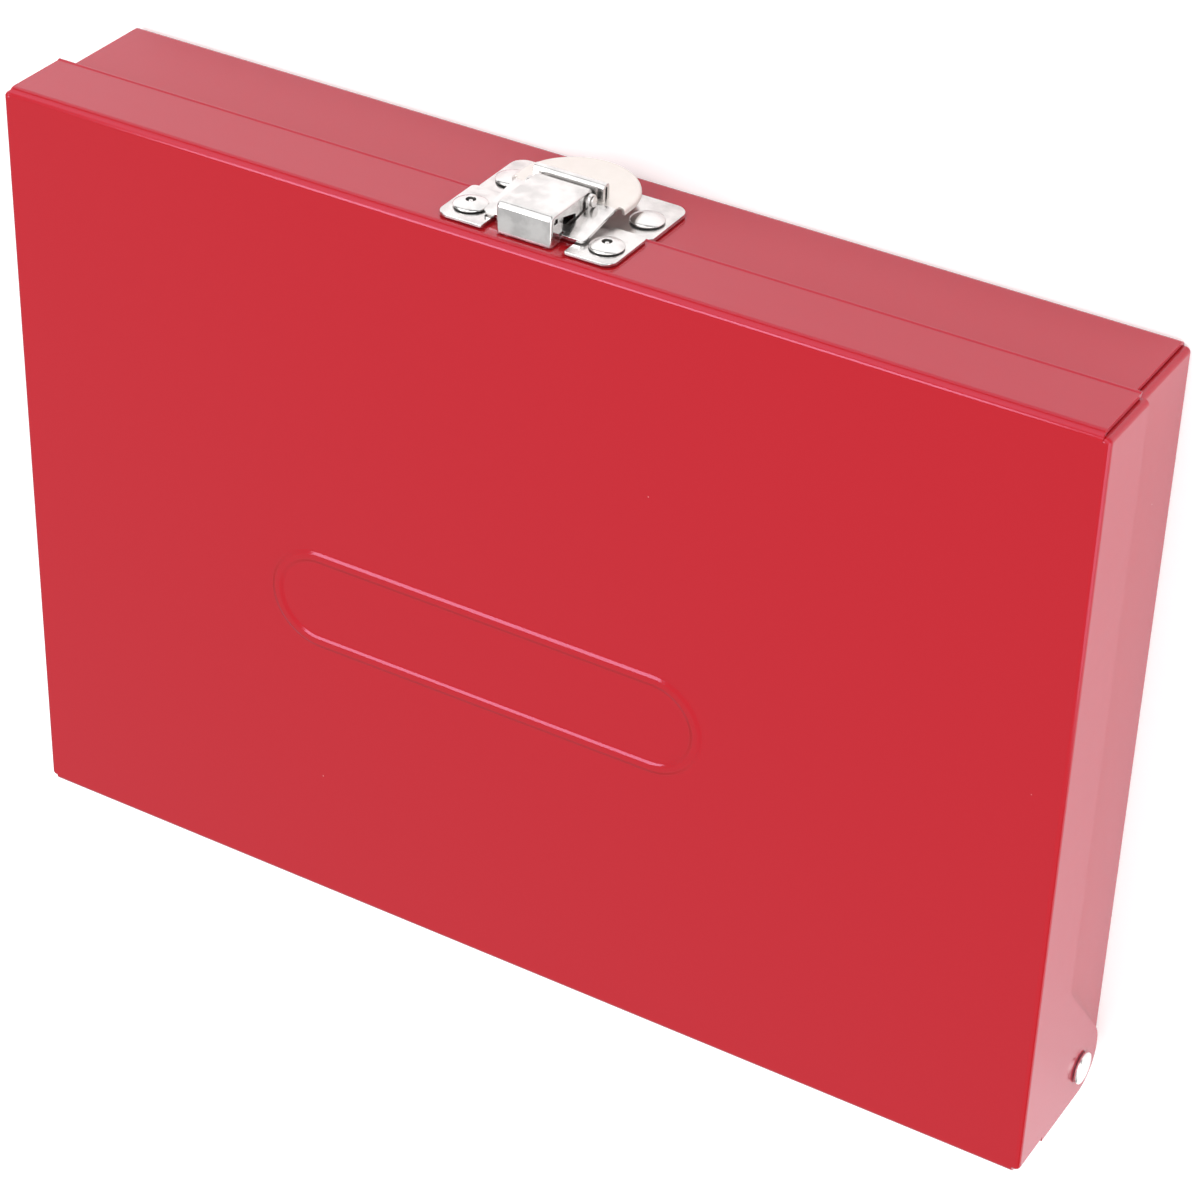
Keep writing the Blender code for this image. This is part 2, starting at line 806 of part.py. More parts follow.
def latch_lever():
    tab_end = tab_centre_height - tab_radius - cut_margin
    beyond_tip = arm_tip + cut_margin
    side_view = rounded([
        (tab_end, tab_out, 0),
        (arm_kink, tab_out, arm_kink_radius),
        (beyond_tip, arm_middle(beyond_tip), 0),
    ], closed=False)
    reach = tab_radius + cut_margin
    bent_sheet = plate((strip(side_view, lever_sheet),), -reach, reach, latch_side)
    plan = plate((lever_outline(),), 0, tab_out + cut_margin, latch_face)
    body = common(bent_sheet, plan)

    rim_end = tab_front - tab_corner_radius
    outer = across(tab_outline(tab_radius, rim_end))
    inner = across(tab_outline(tab_radius - lever_sheet, rim_end))
    rim_out = tab_out - lever_sheet / 2 - rim_depth
    rim = plate((outer + inner[::-1],), rim_out, tab_out, latch_face)
    ridge_outline = rounded([
        (ridge_low, tab_out, 0),
        (ridge_low + lever_sheet, tab_out, 0),
        (ridge_low + lever_sheet, ridge_out - lever_sheet, 0),
        (ridge_high - lever_sheet, ridge_out - lever_sheet, 0),
        (ridge_high - lever_sheet, tab_out, 0),
        (ridge_high, tab_out, 0),
        (ridge_high, ridge_out, ridge_radius),
        (ridge_low, ridge_out, ridge_radius),
    ])
    ridge = plate((ridge_outline,), -ridge_half_width, ridge_half_width, latch_side)
    front_foot = (
        Vector((lever_pin_height - lever_ear_round, arm_middle(foot_low))),
        Vector((foot_high - ear_root_lap, arm_middle(foot_high))),
    )
    rear_foot = (
        Vector((hook_pin_height - hook_ear_round, arm_middle(arm_kink))),
        Vector((hook_pin_height + hook_ear_round, arm_middle(hook_pin_height + hook_ear_round))),
    )
    ears = pin_ears(lever_ear_inner, front_foot, (lever_pin_height, lever_pin_out), lever_ear_round)
    ears += pin_ears(arm_inner, rear_foot, (hook_pin_height, hook_pin_out), hook_ear_round)
    body = join(body, rim, ridge, *ears)
    return cut(body, pin_hole(lever_pin_height, lever_pin_out, lever_pin_half + fit_gap),
               pin_hole(hook_pin_height, hook_pin_out, hook_pin_half + fit_gap))


def hook_side_view(inset, foot_out):
    """Side view of the hook's box, or of its hollow when inset by the sheet."""
    centre = (hook_pin_height, hook_pin_out)
    curl = arc(centre, hook_curl - inset, math.pi / 2, math.pi / 2, 2 * arc_steps)
    front = hook_front - inset
    return curl + rounded([
        (hook_rear + inset, foot_out, 0),
        (front, foot_out, 0),
        (front, hook_out - inset, hook_bend_radius - inset),
        (hook_pin_height, hook_out - inset, 0),
    ])[:-1]


def latch_hook():
    box = plate((hook_side_view(0, hook_wall_gap),), -hook_half_width, hook_half_width, latch_side)

    def on_bend(first, second):
        on_side = near(first.x, second.x) and near(abs(first.x), hook_half_width)
        outs = [lid_front - point.y for point in (first, second)]
        return on_side and max(outs) > hook_wall_gap + weld_distance
    box = round_edges(box, hook_edge_radius, fold_steps, on_bend)
    hollow = plate((hook_side_view(hook_sheet, -cut_margin),), -hook_inside, hook_inside, latch_side)
    rear = hook_rear - cut_margin
    step_low = hook_rear + hook_sheet + relief_gap
    toe = 2 * flange_toe - flange_rear
    open_sides = rounded([
        (rear, -cut_margin, 0),
        (toe, -cut_margin, 0),
        (toe, hook_wall_gap - flange_foot_rise, 0),
        (flange_rear, hook_wall_gap + flange_foot_rise, 0),
        (flange_rear, hook_out - flange_waist_depth, 0),
        (flange_shoulder, hook_out - flange_depth, 0),
        (skirt_front, hook_out - flange_depth, 0),
        (hook_front - hook_sheet - relief_gap, hook_out - relief_depth, 0),
        (skirt_front, hook_out - skirt_front_depth, 0),
        (cheek_high, hook_out - skirt_rear_depth, 0),
        (cheek_high, hook_out - cheek_depth, cheek_radius),
        (step_low + rear_wall_step, hook_out - cheek_depth, 0),
        (step_low, hook_out - rear_wall_depth, 0),
        (rear, hook_out - rear_wall_depth, 0),
    ])
    reach = hook_half_width + cut_margin
    sides = plate((open_sides,), -reach, reach, latch_side)
    shell = cut(box, hollow, sides)
    lip_low = hook_wall_gap + lip_lift
    lip_path = [Vector((lip_rear, lip_low + hook_sheet / 2)),
                Vector((hook_front - hook_sheet / 2, lip_low + hook_sheet / 2))]
    lip = plate((strip(lip_path, hook_sheet),), -lip_half_width, lip_half_width, latch_side)
    return cut(join(shell, lip), pin_hole(hook_pin_height, hook_pin_out, reach))


def pin(height, out, half_length):
    """Plain pin across the latch with a flat head at each end."""
    head = half_length + pin_clearance
    end = head + pin_head_length
    profile = [
        (0, end),
        (pin_head_radius, end),
        (pin_head_radius, head),
        (pin_radius, head),
        (pin_radius, -head),
        (pin_head_radius, -head),
        (pin_head_radius, -end),
        (0, -end),
    ]
    return turned(profile, latch_side @ Matrix.Translation((height, out, 0)))


finish(tray_shell(), "tray_shell", enamel)
finish(lid_shell(), "lid_shell", enamel, hinge_point)
for side, word in ((-1, "left"), (1, "right")):
    spacer_low = tray_end + fit_gap
    spacer_high = lid_end - sheet - fit_gap
    washer_high = tray_end - sheet - fit_gap
    finish(hinge_rivet(side), "hinge_rivet_" + word, rivet_metal)
    finish(hinge_ring(spacer_low, spacer_high, side), "hinge_spacer_" + word, nickel)
    finish(hinge_ring(washer_high - washer_thickness, washer_high, side), "hinge_washer_" + word, nickel)
    keeper_seat = keeper_top + fit_gap
    base_rivet_seat = base_top + fit_gap
    finish(latch_rivet(side, keeper_rivet_height, keeper_seat, -sheet, True),
           "keeper_rivet_" + word, nickel, hinge_point)
    finish(latch_rivet(side, base_rivet_height, base_rivet_seat, -tray_latch_inset - sheet, False),
           "base_rivet_" + word, nickel)
finish(keeper_plate(), "keeper_plate", nickel, hinge_point)
finish(latch_base_plate(), "latch_base_plate", nickel)
finish(latch_lever(), "latch_lever", nickel, lever_point)
finish(latch_hook(), "latch_hook", nickel, hook_point)
finish(pin(lever_pin_height, lever_pin_out, lever_pin_half), "lever_pivot_pin", nickel)
finish(pin(hook_pin_height, hook_pin_out, hook_pin_half), "hook_pivot_pin", nickel, hook_point)
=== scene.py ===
# %% [markdown]
# # A folded steel tool box with a draw latch
#
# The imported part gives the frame: where every piece sits, how big it is and what it turns on.
# This script gives the looks. The box is made of thin sheet, so both shells, the thumb lever and
# the hook are made as skins, which are then given the thickness of the sheet and rounded edges.
# The plates, the rivets and the small additions are closed bodies.

# %% Load the fixed frame
import math

import bmesh
import bpy
import numpy as np
from mathutils import Matrix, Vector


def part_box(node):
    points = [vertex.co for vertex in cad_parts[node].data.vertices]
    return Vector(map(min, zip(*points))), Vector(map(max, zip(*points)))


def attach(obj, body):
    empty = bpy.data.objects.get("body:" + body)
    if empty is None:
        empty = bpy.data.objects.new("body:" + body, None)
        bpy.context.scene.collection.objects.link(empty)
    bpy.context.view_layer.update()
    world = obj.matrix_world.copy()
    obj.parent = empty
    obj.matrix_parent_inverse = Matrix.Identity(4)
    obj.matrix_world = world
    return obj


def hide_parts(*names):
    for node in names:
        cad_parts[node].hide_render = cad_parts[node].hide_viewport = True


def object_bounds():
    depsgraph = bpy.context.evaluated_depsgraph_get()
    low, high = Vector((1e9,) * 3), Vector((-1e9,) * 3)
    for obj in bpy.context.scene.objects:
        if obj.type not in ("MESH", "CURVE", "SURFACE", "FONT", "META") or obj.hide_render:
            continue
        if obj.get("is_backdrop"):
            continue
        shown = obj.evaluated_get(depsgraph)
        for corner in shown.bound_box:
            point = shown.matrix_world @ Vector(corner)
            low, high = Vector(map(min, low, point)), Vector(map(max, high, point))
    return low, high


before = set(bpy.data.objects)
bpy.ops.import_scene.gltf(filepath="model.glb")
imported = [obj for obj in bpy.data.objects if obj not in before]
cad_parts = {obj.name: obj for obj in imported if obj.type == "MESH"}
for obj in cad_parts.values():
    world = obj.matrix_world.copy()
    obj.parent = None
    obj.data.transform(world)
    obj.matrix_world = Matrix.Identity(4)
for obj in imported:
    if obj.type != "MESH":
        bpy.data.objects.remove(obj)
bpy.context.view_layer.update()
MM = 0.001


# %% [markdown]
# ## Sizes read from the frame
#
# Most outer sizes are measured on the solids, so the pieces follow the part. Sizes that a box
# can't tell, such as a bend's radius or a notch's width, are named in metres, here or beside
# their piece.

# %% Measure the solids
def span(node):
    """Lowest and highest corner of a solid as two arrays."""
    low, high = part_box(node)
    return np.array(low), np.array(high)


lid_low, lid_high = span("lid_shell")
tray_low, tray_high = span("tray_shell")
keeper_low, keeper_high = span("keeper_plate")
base_low = span("latch_base_plate")[0]
hook_low, hook_high = span("latch_hook")
lever_high = span("latch_lever")[1]
lid_front = lid_low[1]

SHEET = 0.9 * MM  # steel of both pans
FOLD, FOLD_STEPS = 2.0 * MM, 10  # radius of the long folds; rows of faces on any bend
CORNER = 1.2 * MM  # radius of the folds at the ends
SLIT = 1.75 * MM  # how far the long walls stop short of the ends
PAN_EDGE = 0.2 * MM  # rounding of a pan's cut edges
ROLL, ROLL_HEIGHT = 0.22 * MM, 0.8 * MM  # swell of the lid's lower edge, and its height
TAB = 12.0 * MM  # reach of an end panel's tabs along the box
LAP_GAP = 0.3 * MM  # play between a tab and the wall that it backs
RING_RISE = 0.4 * MM  # height of the ring on the lid
LID_DEPTH, HINGE_DEPTH = 18.0 * MM, 11.7 * MM  # lid's wall at the latch and at the hinge
lid_top = lid_high[2] - RING_RISE
seam = lid_top - LID_DEPTH
hinge_wall_low = lid_top - HINGE_DEPTH
print("lid top", round(lid_top / MM, 2), "seam", round(seam / MM, 2))


# %% [markdown]
# ## Tools for skins
#
# A skin is put together from grids of points, each worked out as one array, and from flat
# outlines, each of which becomes a single flat face. Points that two of them share are welded, so
# the skin has no open seams. A modifier then gives the sheet its thickness, a second one rounds
# the cut edges, and a third keeps the flat panels flat in the shading.

# %% Grid, weld and sheet thickness
WELD = 0.002 * MM  # points closer than this are one


def placed(name, mesh):
    """Puts a finished mesh into the scene as a smooth piece at the origin."""
    mesh.shade_smooth()
    piece = bpy.data.objects.new(name, mesh)
    bpy.context.scene.collection.objects.link(piece)
    return piece


def grid_faces(rows, columns, first):
    """Quads of a grid of points: each takes a point, the next one down, across and back up."""
    index = np.arange(rows * columns).reshape(rows, columns) + first
    corners = (index[:-1, :-1], index[1:, :-1], index[1:, 1:], index[:-1, 1:])
    return np.stack(corners, axis=-1).reshape(-1, 4).tolist()


def welded(name, grids=(), outlines=()):
    """Object from point grids (rows, columns, 3) and flat outlines (points, 3), welded."""
    points, faces, first = [], [], 0
    for grid in grids:
        rows, columns = grid.shape[:2]
        faces += grid_faces(rows, columns, first)
        points.append(grid.reshape(-1, 3))
        first += rows * columns
    for outline in outlines:
        faces.append(list(range(first, first + len(outline))))
        points.append(np.asarray(outline))
        first += len(outline)
    mesh = bpy.data.meshes.new(name)
    mesh.from_pydata(np.concatenate(points), [], faces)
    work = bmesh.new()
    work.from_mesh(mesh)
    bmesh.ops.remove_doubles(work, verts=work.verts, dist=WELD)
    bmesh.ops.dissolve_degenerate(work, edges=work.edges, dist=WELD)
    bmesh.ops.recalc_face_normals(work, faces=work.faces)
    work.to_mesh(mesh)
    work.free()
    return placed(name, mesh)


def soften(piece, radius, steps=2, angle=40):
    """Rounds the sharp edges of a piece and weights its shading by face size."""
    bevel = piece.modifiers.new("cut edges", "BEVEL")
    bevel.width = radius
    bevel.segments = steps
    bevel.limit_method = "ANGLE"
    bevel.angle_limit = math.radians(angle)
    bevel.use_clamp_overlap = True
    even = piece.modifiers.new("flat panels", "WEIGHTED_NORMAL")
    even.keep_sharp = False
    return piece


def thicken(piece, thickness, edge, steps=2):
    """Gives a skin its sheet thickness, inwards, and softens its cut edges."""
    solid = piece.modifiers.new("sheet", "SOLIDIFY")
    solid.thickness = thickness
    solid.offset = -1  # the skin is the outer face
    solid.use_even_offset = True
    return soften(piece, edge, steps)


# %% [markdown]
# ## Outlines
#
# Flat plates, bent strips and side views are all polygons whose corners are turned on arcs. The
# arcs are found by geometry: their centre lies on the corner's bisector, and they start where
# they touch the two sides.

# %% Rounded outlines, strips and prisms
def arc(centre, radius, start, end, steps):
    """Points (u, v) on a circle, from one angle to another."""
    angle = np.linspace(start, end, steps + 1)[:, None]
    return np.array(centre) + radius * np.hstack((np.cos(angle), np.sin(angle)))


def rounded(corners, steps=6, closed=True):
    """Outline through (u, v, radius) corners: each sharp corner becomes an arc of its radius."""
    path, count = [], len(corners)
    for index, (u, v, radius) in enumerate(corners):
        here = np.array((u, v), float)
        if radius == 0 or (not closed and index in (0, count - 1)):
            path.append(here[None])
            continue
        back = np.array(corners[index - 1][:2]) - here
        ahead = np.array(corners[(index + 1) % count][:2]) - here
        back, ahead = back / np.linalg.norm(back), ahead / np.linalg.norm(ahead)
        half = math.acos(np.clip(back @ ahead, -1, 1)) / 2
        middle = (back + ahead) / np.linalg.norm(back + ahead)
        centre = here + middle * radius / math.sin(half)
        start = here + back * radius / math.tan(half) - centre
        turn = math.copysign(math.pi - 2 * half, ahead[0] * back[1] - ahead[1] * back[0])
        angle = math.atan2(start[1], start[0])
        path.append(arc(centre, radius, angle, angle + turn, steps))
    return np.concatenate(path)


def both_sides(half):
    """Closed outline from its +u half: the same points follow in mirror image."""
    return np.concatenate((half, half[::-1] * (-1, 1)))


def strip(path, thickness):
    """Outline of a bent sheet: the path moved half a sheet to each side, square to itself."""
    step = np.diff(path, axis=0)
    step /= np.linalg.norm(step, axis=1)[:, None]
    back, ahead = np.vstack((step[:1], step)), np.vstack((step, step[-1:]))
    along = back + ahead
    along /= np.linalg.norm(along, axis=1)[:, None]
    square = np.stack((-along[:, 1], along[:, 0]), axis=1)
    reach = square * (thickness / 2 / (along * ahead).sum(1))[:, None]
    return np.concatenate((path + reach, (path - reach)[::-1]))


def on_latch_face(u, v, w):
    """World points of (along X, height, out of the lid's latch wall)."""
    u, v, w = np.broadcast_arrays(u, v, w)
    return np.stack((u, lid_front - w, v), axis=-1)


def prism(name, ends):
    """Closed body from one outline at two places: a band between them and two flat faces."""
    band = np.stack([np.vstack((end, end[:1])) for end in ends])
    return welded(name, [band], ends)


def flat_plate(name, outline, low, high):
    """Plate in the latch wall's plane: its outline at two depths."""
    return prism(name, [on_latch_face(outline[:, 0], outline[:, 1], out) for out in (low, high)])


def cross_bar(name, side_view, left, right):
    """Bar along X with the same (height, out) side view from left to right."""
    return prism(name, [on_latch_face(x, side_view[:, 0], side_view[:, 1]) for x in (left, right)])


def joined(name, parts):
    """One object from several closed bodies of the same piece."""
    work = bmesh.new()
    for part in parts:
        work.from_mesh(part.data)
        bpy.data.objects.remove(part)
    mesh = bpy.data.meshes.new(name)
    work.to_mesh(mesh)
    work.free()
    return placed(name, mesh)


# %% [markdown]
# ## Red enamel
#
# The box looks dipped or sprayed in a glossy red enamel. Paint over rolled steel is never dead
# flat: it has a fine ripple, called orange peel, that only shows in what it mirrors. A bump from
# a noise 1.6 mm wide gives that. A few dust grains caught in the paint come from a cell pattern
# whose cells are far apart and whose dots are tiny. The gloss gives the pale cast on the panels
# that are seen at a low angle. Its tint and the bluish sheen have no cause in the paint: they
# were set so that the cast comes near the one in the photograph.

# %% Node helpers and the enamel
def shader_material(name, **sockets):
    """New material; each socket of its shader is set by name, with _ standing for a space."""
    material = bpy.data.materials.new(name)
    material.use_nodes = True
    shader = material.node_tree.nodes["Principled BSDF"]
    for key, value in sockets.items():
        shader.inputs[key.replace("_", " ")].default_value = value
    return material, material.node_tree, shader


def add_node(tree, kind, links=(), **settings):
    """New node; settings name its own properties, and links feed its sockets."""
    node = tree.nodes.new(kind)
    for key, value in settings.items():
        setattr(node, key, value)
    for socket, source in links:
        if hasattr(source, "is_output"):
            tree.links.new(source, node.inputs[socket])
        else:
            node.inputs[socket].default_value = source
    return node


def clouds(tree, place, size, detail):
    """Noise whose patches are about as wide as the size, in metres."""
    return add_node(tree, "ShaderNodeTexNoise",
                    [("Vector", place), ("Scale", 1 / size), ("Detail", detail)]).outputs["Fac"]


def ranged(tree, value, lowest, highest, start, end):
    """Goes from start to end while the value goes from lowest to highest."""
    return add_node(tree, "ShaderNodeMapRange",
                    [("Value", value), ("From Min", lowest), ("From Max", highest),
                     ("To Min", start), ("To Max", end)]).outputs["Result"]


def mixed(tree, share, first, second):
    """Colour between two: the first where the share is 0, the second where it is 1."""
    return add_node(tree, "ShaderNodeMix", [("Factor", share), ("A", first), ("B", second)],
                    data_type="RGBA").outputs["Result"]


def bumped(tree, shader, place, size, height, strength):
    """Noise of a given size, in metres, as relief of a given height on the shader's normal."""
    bump = add_node(tree, "ShaderNodeBump", [("Height", clouds(tree, place, size, detail=2.0)),
                                             ("Strength", strength), ("Distance", height)])
    tree.links.new(bump.outputs["Normal"], shader.inputs["Normal"])


RED, GRAIN_PINK = (0.40, 0.003, 0.004, 1), (0.85, 0.42, 0.42, 1)
GRAIN_CELL = 17 * MM  # width of a cell that holds one grain
GRAIN_CORE, GRAIN_RIM = 0.006, 0.013  # distances from the cell's point, as shares of the cell
enamel, tree, shader = shader_material(
    "red_enamel_paint", Base_Color=RED, Roughness=0.12, IOR=1.52,
    Specular_Tint=(1.0, 0.66, 1.0, 1), Sheen_Weight=0.4, Sheen_Roughness=0.3,
    Sheen_Tint=(0.62, 0.7, 1.0, 1))
place = add_node(tree, "ShaderNodeTexCoord").outputs["Object"]
bumped(tree, shader, place, size=1.6 * MM, height=0.02 * MM, strength=0.25)
cells = add_node(tree, "ShaderNodeTexVoronoi", [("Vector", place), ("Scale", 1 / GRAIN_CELL)])
grain = ranged(tree, cells.outputs["Distance"], GRAIN_CORE, GRAIN_RIM, 0.5, 0.0)
tree.links.new(mixed(tree, grain, RED, GRAIN_PINK), shader.inputs["Base Color"])

# %% [markdown]
# ## Nickel plate
#
# The latch looks like stamped steel with a thin nickel plate: a warm, bright metal that mirrors
# softly. It has patches that are a little duller or darker, so the roughness follows one noise
# and the colour a finer one. The thumb tab is its dullest face, so it gets a rougher copy. The
# hinge's rivets look like brighter aluminium. The well in a blind rivet gets painted shade: a
# very dark metal on its wall and floor.

# %% Four finishes of metal, one of them painted shade
def plated(name, colour, metallic, dull, bright, patch, tarnish=1.0):
    """Metal whose roughness, and colour where it is tarnished, wander in patches of one size."""
    material, tree, shader = shader_material(name, Base_Color=(*colour, 1), Metallic=metallic)
    place = add_node(tree, "ShaderNodeTexCoord").outputs["Object"]
    bumped(tree, shader, place, size=2.5 * MM, height=0.01 * MM, strength=0.12)
    wear = ranged(tree, clouds(tree, place, patch, detail=4.0), 0.35, 0.65, bright, dull)
    tree.links.new(wear, shader.inputs["Roughness"])
    if tarnish < 1.0:
        film = ranged(tree, clouds(tree, place, patch / 2, detail=3.0), 0.36, 0.56, 0.0, 1.0)
        dark = (*(tarnish * tone for tone in colour), 1)
        tree.links.new(mixed(tree, film, dark, (*colour, 1)), shader.inputs["Base Color"])
    return material


nickel = plated("nickel_plate_bright", (0.71, 0.695, 0.685), metallic=0.97,
                dull=0.27, bright=0.13, patch=9 * MM, tarnish=0.8)
satin = plated("nickel_plate_satin", (0.72, 0.68, 0.645), metallic=0.85,
               dull=0.50, bright=0.38, patch=3 * MM)
rivet_metal = plated("rivet_metal_clean", (0.86, 0.85, 0.84), metallic=0.95,
                     dull=0.30, bright=0.20, patch=6 * MM)
# Very dark metal painted into the blind rivets' wells as shade.
well_shade_paint = plated("painted_shade_in_well", (0.10, 0.095, 0.09), metallic=0.8,
                    dull=0.6, bright=0.45, patch=1 * MM)


def dress(piece, material, body, slot, *nodes):
    """Gives a piece its material, the body it rides on and the solids it stands for, which it
    hides. The slot is not used.
    """
    piece.data.materials.clear()
    piece.data.materials.append(material)
    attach(piece, body)
    if nodes:
        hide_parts(*nodes)
    print(piece.name, "faces", len(piece.data.polygons))
    return piece


# %% [markdown]
# ## Folding a pan
#
# Lid and tray are pans, each folded from a blank. The two long walls stop short of the ends, and
# the end panels turn round the corner into tabs behind them. The skin of such a pan is a line, the
# edge of its flat face, along which a profile is carried: a quarter bend, then a straight wall.
# A point of the bend is the line's point, plus radius x sin(angle) outwards, and
# radius x (1 - cos(angle)) towards the open side.

# %% Bend profile carried along an edge
ROLL_ROWS, ROLL_TURN = 8, 0.65 * math.pi  # the edge swells out and just starts to come back
END_RAYS, LONG_RAYS = 41, 15  # rays of a fan, and rays along the spine
NO_SLOPE = 1e-9  # stands for zero where a ray is divided by its own parts


def with_height(flat, height):
    """Grid of (x, y) points with one height for each row."""
    level = np.asarray(height)[:, None, None]
    return np.concatenate((flat, np.broadcast_to(level, flat.shape[:2] + (1,))), axis=-1)


def bend(line, outwards, shut, side, radius):
    """Grid: the line moved outwards by radius sin a, and off the face by radius (1 - cos a)."""
    angle = np.linspace(0, math.pi / 2, FOLD_STEPS + 1)
    flat = line[None] + outwards[None] * radius * np.sin(angle)[:, None, None]
    return with_height(flat, shut + side * radius * (1 - np.cos(angle)))


def wall(line, heights):
    """Grid: the (x, y) line repeated at each height."""
    return with_height(np.broadcast_to(line[None], (len(heights),) + line.shape), heights)


def rolled_edge(line, swell, edge, side):
    """Grid: the end of a wall, moved out by swell x sin a while a goes from 0 to ROLL_TURN."""
    share = np.linspace(0, 1, ROLL_ROWS)
    flat = line[None] + swell[None] * np.sin(ROLL_TURN * share)[:, None, None]
    return with_height(flat, edge - side * ROLL_HEIGHT * (1 - share))


def edge_points(half_x, front, back, spine, reach):
    """Points round a pan's flat face, where rays from a middle line meet its rectangle.

    The spine is the middle of a long ring. (x, y) rays fan out from its two ends and leave its
    length squarely, and each goes on until it meets the nearer of the two sides it points at.
    """
    turn = np.linspace(-math.pi / 2, math.pi / 2, END_RAYS)
    along = np.linspace(-reach, reach, LONG_RAYS + 2)[1:-1]
    start_x = np.concatenate((np.full(END_RAYS, reach), along[::-1],
                              np.full(END_RAYS, -reach), along))
    angle = np.concatenate((turn, np.full(LONG_RAYS, math.pi / 2), turn + math.pi,
                            np.full(LONG_RAYS, -math.pi / 2)))
    start = np.stack((spine[0] + start_x, np.full(len(angle), spine[1])), axis=1)
    ray = np.stack((np.cos(angle), np.sin(angle)), axis=1)
    ray[np.abs(ray) < NO_SLOPE] = NO_SLOPE
    low, high = np.array((-half_x, front)), np.array((half_x, back))
    far = np.where(ray > 0, high - start, low - start) / ray
    return np.clip(start + ray * far.min(axis=1)[:, None], low, high)


def pan_skin(half_x, front, back, shut, side, front_edge, back_edge, end_outline, spine, reach,
             relief=None, roll=0.0):
    """Grids and outlines of a folded pan, and the ordered points round its flat face.

    shut is the height of the flat face, and side is 1 where the walls rise from it and -1 where
    they hang. A relief (x, height) cuts the front tabs' inner part off at that height.
    """
    grids, flats = [], []
    slit_x = half_x - SLIT
    flat_x = half_x - CORNER
    front_y, back_y = front + FOLD, back - FOLD
    tab_inset = SHEET + LAP_GAP + CORNER
    tab_front, tab_back = front + tab_inset, back - tab_inset
    points = edge_points(flat_x, front_y, back_y, spine, reach)
    in_notch = (np.abs(points[:, 0]) > slit_x) & (
        (points[:, 1] < tab_front) | (points[:, 1] > tab_back))
    corners = [(sx * x, y) for sx in (-1, 1) for x, y in (
        (slit_x, front_y), (slit_x, tab_front), (flat_x, tab_front),
        (slit_x, back_y), (slit_x, tab_back), (flat_x, tab_back))]
    points = np.concatenate((points[~in_notch], np.array(corners)))
    points = points[np.argsort(np.arctan2(points[:, 1], points[:, 0]))]

    for y, out, edge in ((front_y, -1, front_edge), (back_y, 1, back_edge)):
        line = points[np.abs(points[:, 1] - y) < WELD]
        line = line[np.argsort(line[:, 0])]
        square = np.broadcast_to((0.0, out), line.shape)
        grids += [bend(line, square, shut, side, FOLD),
                  wall(line + square * FOLD, (shut + side * FOLD, edge - side * ROLL_HEIGHT)),
                  rolled_edge(line + square * FOLD, square * roll, edge, side)]

    low_wall = shut + side * CORNER
    quarter = np.linspace(0, math.pi / 2, FOLD_STEPS + 1)
    for sx in (-1, 1):
        on_side = points[np.abs(points[:, 0] - sx * flat_x) < WELD]
        on_side = on_side[np.argsort(on_side[:, 1])]
        square = np.broadcast_to((float(sx), 0.0), on_side.shape)
        grids.append(bend(on_side, square, shut, side, CORNER))
        for y, out, edge in ((tab_front, -1, end_outline["front"]),
                             (tab_back, 1, end_outline["back"])):
            centre = np.broadcast_to((sx * flat_x, y), (FOLD_STEPS + 1, 2))
            round_out = np.stack((sx * np.sin(quarter), out * np.cos(quarter)), axis=1)
            tab = np.array([(sx * slit_x, y), (sx * flat_x, y)])
            tab_out = np.broadcast_to((0.0, out), tab.shape)
            levels = [low_wall, edge]
            if relief and out < 0:
                levels.insert(1, relief[1])
                stub = np.array([(sx * relief[0], y), (sx * slit_x, y)])
                inner = np.array([(sx * (half_x - TAB), y), (sx * relief[0], y)])
                grids.append(wall(stub + tab_out * CORNER, levels))
                grids.append(wall(inner + tab_out * CORNER, levels[:2]))
            else:
                inner = np.array([(sx * (half_x - TAB), y), (sx * slit_x, y)])
                grids.append(wall(inner + tab_out * CORNER, levels))
            grids += [bend(tab, tab_out, shut, side, CORNER), wall(tab + tab_out * CORNER, levels),
                      bend(centre, round_out, shut, side, CORNER),
                      wall(centre + round_out * CORNER, levels)]
        upper = np.column_stack((on_side[:, 1], np.full(len(on_side), low_wall)))
        outline = np.concatenate((upper, end_outline["points"](tab_front, tab_back)))
        flats.append(np.column_stack((np.full(len(outline), sx * half_x), outline)))
    return grids, flats, points


# %% [markdown]
# ## The lid
#
# Its top carries a long raised ring, pressed from inside. The whole top is one grid: rays leave
# the ring's middle line, rows follow them outwards, and where a row crosses the ring it rises and
# falls on a smooth step. So the ring's slopes are real surface, and its ends are half circles.

# %% Top panel with its raised ring
RING_X, RING_Y = 7.1 * MM, 10.7 * MM  # middle of the ring
RING_OUTER, RING_WIDTH, RING_LENGTH = 13.1 * MM, 3.4 * MM, 112.6 * MM
RING_REACH = RING_LENGTH / 2 - RING_OUTER  # half of the middle line
RING_SLOPE = 0.36  # share of the width that each slope takes
RING_ROWS = 19
RING_MARGIN, RING_APRON = 0.6 * MM, 8 * MM  # flat rows close to the ring and further out


def smooth_step(t):
    """Rises from 0 to 1 as 3 t squared less 2 t cubed, flat at both ends."""
    t = np.clip(t, 0, 1)
    return t * t * (3 - 2 * t)


